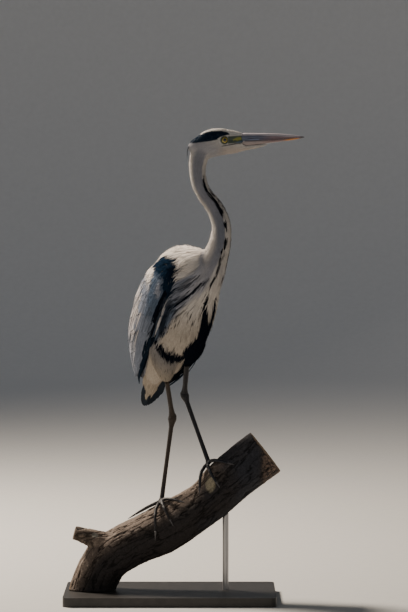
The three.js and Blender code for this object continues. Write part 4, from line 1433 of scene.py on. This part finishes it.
def eyeball(name, centre, radius, axes, material):
    tilt = np.linspace(0, np.pi, EYE_RINGS)[:, None]
    turn = np.linspace(0, 2 * np.pi, EYE_SPOKES, endpoint=False)[None]
    bulge = radius + 0.35 * np.exp(-((tilt / 0.62) ** 4))
    points = round_eye(centre, axes, bulge, radius, tilt, turn).reshape(-1, 3)
    reach = radius * np.sin(np.minimum(tilt, np.pi / 2)) * np.ones_like(turn)
    reach = np.where(tilt > np.pi / 2, radius, reach).ravel()
    spots = np.stack((np.cos(turn) * 9, np.sin(turn) * 9, 0 * turn), axis=2).reshape(-1, 3)
    rays = np.tile(lattice(spots, 1.0, 7), EYE_RINGS)
    colour = plain((0.46, 0.36, 0.022), len(points)) * (0.75 + 0.4 * rays)[:, None]
    colour = mixed(colour, (0.20, 0.10, 0.012), (1 - smooth(reach, 3.1, 4.4)) * 0.8)
    colour = mixed(colour, (0.045, 0.05, 0.012), smooth(reach, 4.7, 5.5) * 0.9)
    colour = mixed(colour, (0.002, 0.002, 0.003), 1 - smooth(reach, 3.15, 3.4))
    finished(name + "_ball", points, ring_faces(EYE_RINGS, EYE_SPOKES), colour, material, (name,))


def eyelids(name, centre, radius, axes, material):
    turn = np.linspace(0, 2 * np.pi, EYE_SPOKES, endpoint=False)
    opening = np.radians(58 + 7 * np.abs(np.cos(turn)) ** 3 - 5 * np.clip(np.sin(turn), 0, 1))
    lids = []
    for part, rise in LID_PROFILE:
        tilt = opening + (np.radians(96) - opening) * part
        lids.append(round_eye(centre, axes, radius + rise, radius + rise, tilt, turn))
    points = np.concatenate(lids)
    part = np.repeat([stop[0] for stop in LID_PROFILE], EYE_SPOKES)
    edge = 1 - smooth(part, 0.02, 0.16)
    colour = mixed(plain((0.20, 0.20, 0.07), len(points)), (0.012, 0.012, 0.012), edge)
    colour = mixed(colour, (0.12, 0.13, 0.10), smooth(part, 0.4, 0.8))
    quads = ring_faces(len(LID_PROFILE), EYE_SPOKES, closed=True)
    finished(name.replace("eye", "eyelids"), points, quads, colour, material)


def eyes():
    glossy = painted("eye_gloss", 0.12, mottle=0.05, coat=1.0)
    lid_skin = painted("eye_lid", 0.5, 0.0006, 0.0003)
    for name, side in (("eye_right", -1), ("eye_left", 1)):
        low, high = (np.array(corner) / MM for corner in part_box(name))
        centre, radius = (low + high) / 2, float((high - low).mean()) / 2
        axes = eye_axes(side)
        eyeball(name, centre, radius, axes, glossy)
        eyelids(name, centre, radius, axes, lid_skin)


LEGS = {
    "right": ((-6, -7, 424), (4.5, 16, 354), (-12, -3, 200)),
    "left": ((32.5, 9, 456), (27.5, 38, 397), (71, -1, 274)),
}


def on_legs(points, stops):
    """How far down the leg's line from the feathers each point is."""
    stops = np.array(stops, dtype=float)
    best = np.full(len(points), 1e9)
    along = np.zeros(len(points))
    before = 0.0
    for start, end in zip(stops[:-1], stops[1:]):
        way = end - start
        length = np.linalg.norm(way)
        share = np.clip((points - start) @ way / length**2, 0, 1)
        away = np.linalg.norm(points - start - share[:, None] * way, axis=1)
        along = np.where(away < best, before + share * length, along)
        best = np.minimum(best, away)
        before += length
    return along


def legs():
    scaly = painted("leg_scales", 0.5, 0.0009, 0.0003, mottle=0.22, mottle_size=0.002, specular=0.22)
    for name, stops in LEGS.items():
        nodes = [part + "_" + name for part in ("tibia", "tarsus", "foot")]
        points, quads = remeshed(*together([closed_shape(node_name, grow=0.32) for node_name in nodes]),
                                 BARE_VOXEL)
        points = spread(points, edges_of(quads), 4)
        normals = normals_of(points, quads)
        along, foot = on_legs(points, stops), length_of(stops)
        shin = 1 - smooth(along, foot - 12, foot - 4)
        front = smooth(normals[:, 0] * 0.8 - normals[:, 1] * 0.6, -0.2, 0.5)
        plate = np.abs((along / 3.4 + 0.12 * np.sin(along)) % 1 - 0.5)
        seams = smooth(plate, 0.40, 0.5) * front * shin
        toe_plate = np.abs((points[:, 2] * 0.28 + points[:, 0] * 0.22) % 1 - 0.5)
        toe_seams = smooth(toe_plate, 0.36, 0.5) * smooth(normals[:, 2], -0.1, 0.5) * (1 - shin)
        seams = np.maximum(seams, toe_seams)
        joint = float(np.linalg.norm(np.subtract(stops[1], stops[0])))
        thicker = 0.7 * (1 - smooth(along, 0, joint)) if name == "left" else 0
        knob = 1.9 * np.exp(-(((along - joint) / 9) ** 2)) + thicker
        pebbles = lattice(points, 1.5, 31)
        relief = knob - 0.16 - 0.34 * seams + 0.30 * (pebbles - 0.5) * (1 - front * 0.6)
        points = points + normals * relief[:, None]
        colour = plain((0.030, 0.024, 0.021), len(points))
        colour = mixed(colour, (0.052, 0.038, 0.029), front * shin * 0.7)
        colour = mixed(colour, (0.020, 0.019, 0.021), smooth(along, foot - 60, foot) * 0.85)
        # Painted shade: the far leg is darker and bluer than the near one.
        colour = mixed(colour, (0.014, 0.017, 0.024), 0.75 if name == "left" else 0.0)
        colour = colour * (1 - 0.55 * seams)[:, None] * (0.75 + 0.5 * pebbles)[:, None]
        finished("leg_" + name, points, quads, colour, scaly, nodes)


def claws():
    horn = painted("claw_horn", 0.32, 0.001, 0.0001, mottle=0.2, mottle_size=0.0015, coat=0.3)
    for name in LEGS:
        nodes = [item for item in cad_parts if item.startswith("claw_" + name)]
        points, quads = remeshed(*together([closed_shape(item, grow=0.12) for item in nodes]), CLAW_VOXEL)
        points = spread(points, edges_of(quads), 3)
        colour = plain((0.045, 0.043, 0.048), len(points)) * (0.7 + 0.6 * lattice(points, 1.2, 8))[:, None]
        finished("claws_horn_" + name, points, quads, colour, horn, nodes)


# ---------------------------------------------------------------- perch and stand
PERCH = np.array(((-158, 0, -4), (-150, 0, 32), (-126, 0, 75), (-66, 0, 112), (-11, 0, 137), (66, 0, 187),
                  (110, 0, 229), (186, 0, 289)), dtype=float)
PERCH_STEPS = 200


def perch_place(points):
    """How far along the limb, the angle round it from its top to the near side, and the way out."""
    line = eased_curve(PERCH, PERCH_STEPS, 60)
    way = unit(np.gradient(line, axis=0))
    length = np.concatenate(([0], np.cumsum(np.linalg.norm(np.diff(line, axis=0), axis=1))))
    step = nearest_step(points, line)
    away = points - line[step]
    along = length[step] + (away * way[step]).sum(axis=1)
    top = unit(np.cross(way[step], np.array((0, 1.0, 0))))
    top = top * np.sign(top[:, 2:])
    angle = np.arctan2(-away[:, 1], (away * top).sum(axis=1))
    return along, angle, np.linalg.norm(away, axis=1)


# Where the bark is worn to the wood on the near side: its middle, its half width and height, and its colour.
BARE_SPOTS = (((78, 226), (10, 17), (0.30, 0.265, 0.185)), ((-146, 127), (7, 5), (0.50, 0.47, 0.40)))


def branch():
    points, quads = remeshed(*closed_shape("perch_branch"), BARK_VOXEL)
    points = spread(points, edges_of(quads), 6)
    normals = normals_of(points, quads)
    along, angle, radius = perch_place(points)
    laid = np.stack((along * 0.16, np.cos(angle) * 46, np.sin(angle) * 46), axis=1)
    bend = clouds(points, 34, 40)
    laid[:, 1:] += (bend[:, None] - 0.5) * 16
    plates = clouds(laid, 9, 41, 4)
    cracks = 1 - smooth(np.abs(plates - 0.5), 0.0, 0.055)
    rough = clouds(points, 5, 44, 4)
    fine = clouds(points, 2.4, 47, 2)
    foot = smooth(points[:, 2], 18.6, 26)
    cut = smooth(along, length_of(PERCH) - 2.5, length_of(PERCH) - 0.5)
    stub_end = 1 - smooth(points[:, 0], -196.5, -193)
    bare = np.maximum(cut, stub_end)
    rings = np.sin(radius * 2.1 + 3 * clouds(points, 18, 49)) * cut
    relief = 0.2 + 2.6 * cracks + 1.3 * (1 - rough) + 0.6 * (1 - fine)
    depth = relief * (1 - bare) + bare * (0.5 + 0.25 * rings + 0.5 * rough)
    points = points - normals * (depth * foot)[:, None]
    # Painted light and shade: the lit top of the limb is brown-grey and its shaded underside near black, and
    # paler blotches of bark are painted as highlights on the lit top only.
    top = smooth(np.cos(angle + 0.25), -0.15, 0.75)
    colour = mixed(plain((0.024, 0.021, 0.021), len(points)), (0.150, 0.114, 0.090), top * 0.9)
    colour = mixed(colour, (0.25, 0.20, 0.165), smooth(rough, 0.55, 0.75) * top * 0.7)
    # Blue-black blotches that grow towards the right end and stop short of the worn wood.
    dark_blotches = smooth(clouds(points, 60, 52) + (points[:, 0] - 60) / 160, 0.55, 0.95)
    dark_blotches = dark_blotches * (1 - smooth(points[:, 0], 168, 182))
    colour = mixed(colour, (0.028, 0.030, 0.038), dark_blotches * 0.85)
    worn = smooth(points[:, 0], 172, 190) * smooth(fine, 0.35, 0.7) * 0.6
    colour = mixed(colour, (0.26, 0.175, 0.13), worn)
    for (x, z), (wide, high), pale in BARE_SPOTS:
        spot = np.hypot((points[:, 0] - x) / wide, (points[:, 2] - z) / high)
        spot = spot + 0.7 * (clouds(points, 7, 55) - 0.5)
        colour = mixed(colour, pale, (1 - smooth(spot, 0.7, 1.05)) * smooth(-normals[:, 1], 0.1, 0.5) * 0.85)
    colour = colour * (1 - 0.75 * cracks)[:, None] * (0.7 + 0.6 * fine)[:, None]
    wood = mixed(plain((0.33, 0.22, 0.13), len(points)), (0.16, 0.10, 0.06), smooth(rings, -0.2, 0.9) * 0.6)
    colour = mixed(colour, wood * (0.75 + 0.5 * fine)[:, None], bare * 0.9)
    colour = mixed(colour, (0.012, 0.012, 0.013), stub_end * 0.7)
    bark = painted("bark", 0.9, 0.0022, 0.0011, mottle=0.28, mottle_size=0.003, specular=0.25)
    finished("branch_bark", points, quads, colour, bark, ("perch_branch",))


def stand():
    """The base and the rod keep their own shapes, with softened edges."""
    board = flat_material("base_stain", (0.020, 0.018, 0.017), 0.38, mottle=0.35, size=0.012)
    steel = flat_material("rod_steel", (0.42, 0.42, 0.43), 0.30, mottle=0.06, size=0.0008)
    steel.node_tree.nodes["Principled BSDF"].inputs["Metallic"].default_value = 1.0
    for name, material, width in (("stand_base", board, 0.0016), ("stand_rod", steel, 0.0006)):
        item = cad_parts[name]
        item.data.materials.clear()
        item.data.materials.append(material)
        soften = item.modifiers.new("edges", "BEVEL")
        soften.width = width
        soften.segments = 3
        soften.limit_method = "ANGLE"


# ---------------------------------------------------------------- stage, light and camera
def flat_material(name, colour, roughness, mottle, size):
    material = painted(name, roughness, mottle=mottle, mottle_size=size)
    tree = material.node_tree
    paint = next(item for item in tree.nodes if item.type == "ATTRIBUTE")
    plain = node(tree, "ShaderNodeRGB")
    plain.outputs[0].default_value = (*colour, 1)
    for link in list(paint.outputs["Color"].links):
        tree.links.new(plain.outputs[0], link.to_socket)
    tree.nodes.remove(paint)
    return material


PAPER_NEAR = (0.46, 0.45, 0.43)
PAPER_FAR = (0.88, 0.88, 0.88)


def studio():
    """A pale floor that curves up into a low wall all round; the base stands over the hole in its middle."""
    flat, bend, high, spokes = 7000, 1500, 2600, 72
    profile = [(reach, 0) for reach in (40, 800, 1500, 2500, 3500, 4500, 5500, 6300, flat)]
    profile += [(flat + bend * math.sin(turn), bend - bend * math.cos(turn))
                for turn in np.linspace(0.1, math.pi / 2, 14)]
    profile += [(flat + bend, high)]
    turns = np.linspace(0, 2 * math.pi, spokes, endpoint=False)
    points = [(reach * math.cos(turn), reach * math.sin(turn), z) for reach, z in profile for turn in turns]
    points = np.array(points, dtype=float)
    floor = new_object("studio_floor", new_mesh("studio_floor", points, ring_faces(len(profile), spokes)))
    away = np.hypot(*points[:, :2].T)
    set_tint(floor.data, mixed(plain(PAPER_NEAR, len(points)), PAPER_FAR, smooth(away, 800, flat)))
    floor.data.materials.append(painted("studio_paper", 0.9, mottle=0.02, mottle_size=0.02))


def lamp(name, place, aim, size, power, colour):
    data = bpy.data.lights.new(name, "AREA")
    data.shape = "DISK"
    data.size = size
    data.energy = power
    data.color = colour
    light = bpy.data.objects.new(name, data)
    bpy.context.scene.collection.objects.link(light)
    light.location = place
    light.rotation_euler = (Vector(aim) - Vector(place)).to_track_quat("-Z", "Y").to_euler()


def lights():
    lamp("sun_box", (-1.6, 1.25, 2.5), (0.03, 0, 0.62), 0.8, 280, (1.0, 0.88, 0.74))
    lamp("sky_box", (-1.2, -2.6, 1.8), (0.03, 0, 0.55), 2.2, 5, (0.84, 0.92, 1.0))
    lamp("bounce_box", (1.9, -1.2, 0.9), (0.03, 0, 0.5), 1.6, 1.4, (1.0, 0.92, 0.82))
    world = bpy.data.worlds.new("room")
    world.use_nodes = True
    world.node_tree.nodes["Background"].inputs["Color"].default_value = (0.80, 0.84, 0.90, 1)
    world.node_tree.nodes["Background"].inputs["Strength"].default_value = 0.15
    bpy.context.scene.world = world


def camera():
    aim = Vector((0.066, 0.0, 0.572))
    distance, lift = 6.0, math.radians(2.2)
    frame_height = 1.190
    data = bpy.data.cameras.new("camera")
    data.sensor_fit = "VERTICAL"
    data.sensor_height = 24
    data.lens = 24 * distance / frame_height
    data.clip_end = 40
    view = bpy.data.objects.new("camera", data)
    bpy.context.scene.collection.objects.link(view)
    view.location = aim + Vector((0, -math.cos(lift), math.sin(lift))) * distance
    view.rotation_euler = (aim - view.location).to_track_quat("-Z", "Y").to_euler()
    bpy.context.scene.camera = view


skin = Skin()
skin_piece = skin.piece()
skin_piece.data.materials.append(painted("skin_down", 0.75, 0.0012, 0.0004))
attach(skin_piece, "root")
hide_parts(*[name for nodes in FLESH.values() for name in nodes])
coat_pieces(skin)
tail(plumage("plumage_tail", 0.5, contrast=0.16, shaft=0.2))
undertail_coverts(plumage("plumage_undertail", 0.72))
crest(plumage("plumage_crest", 0.42, contrast=0.16, shaft=0.2))
bill()
eyes()
legs()
claws()
branch()
stand()
studio()
lights()
camera()
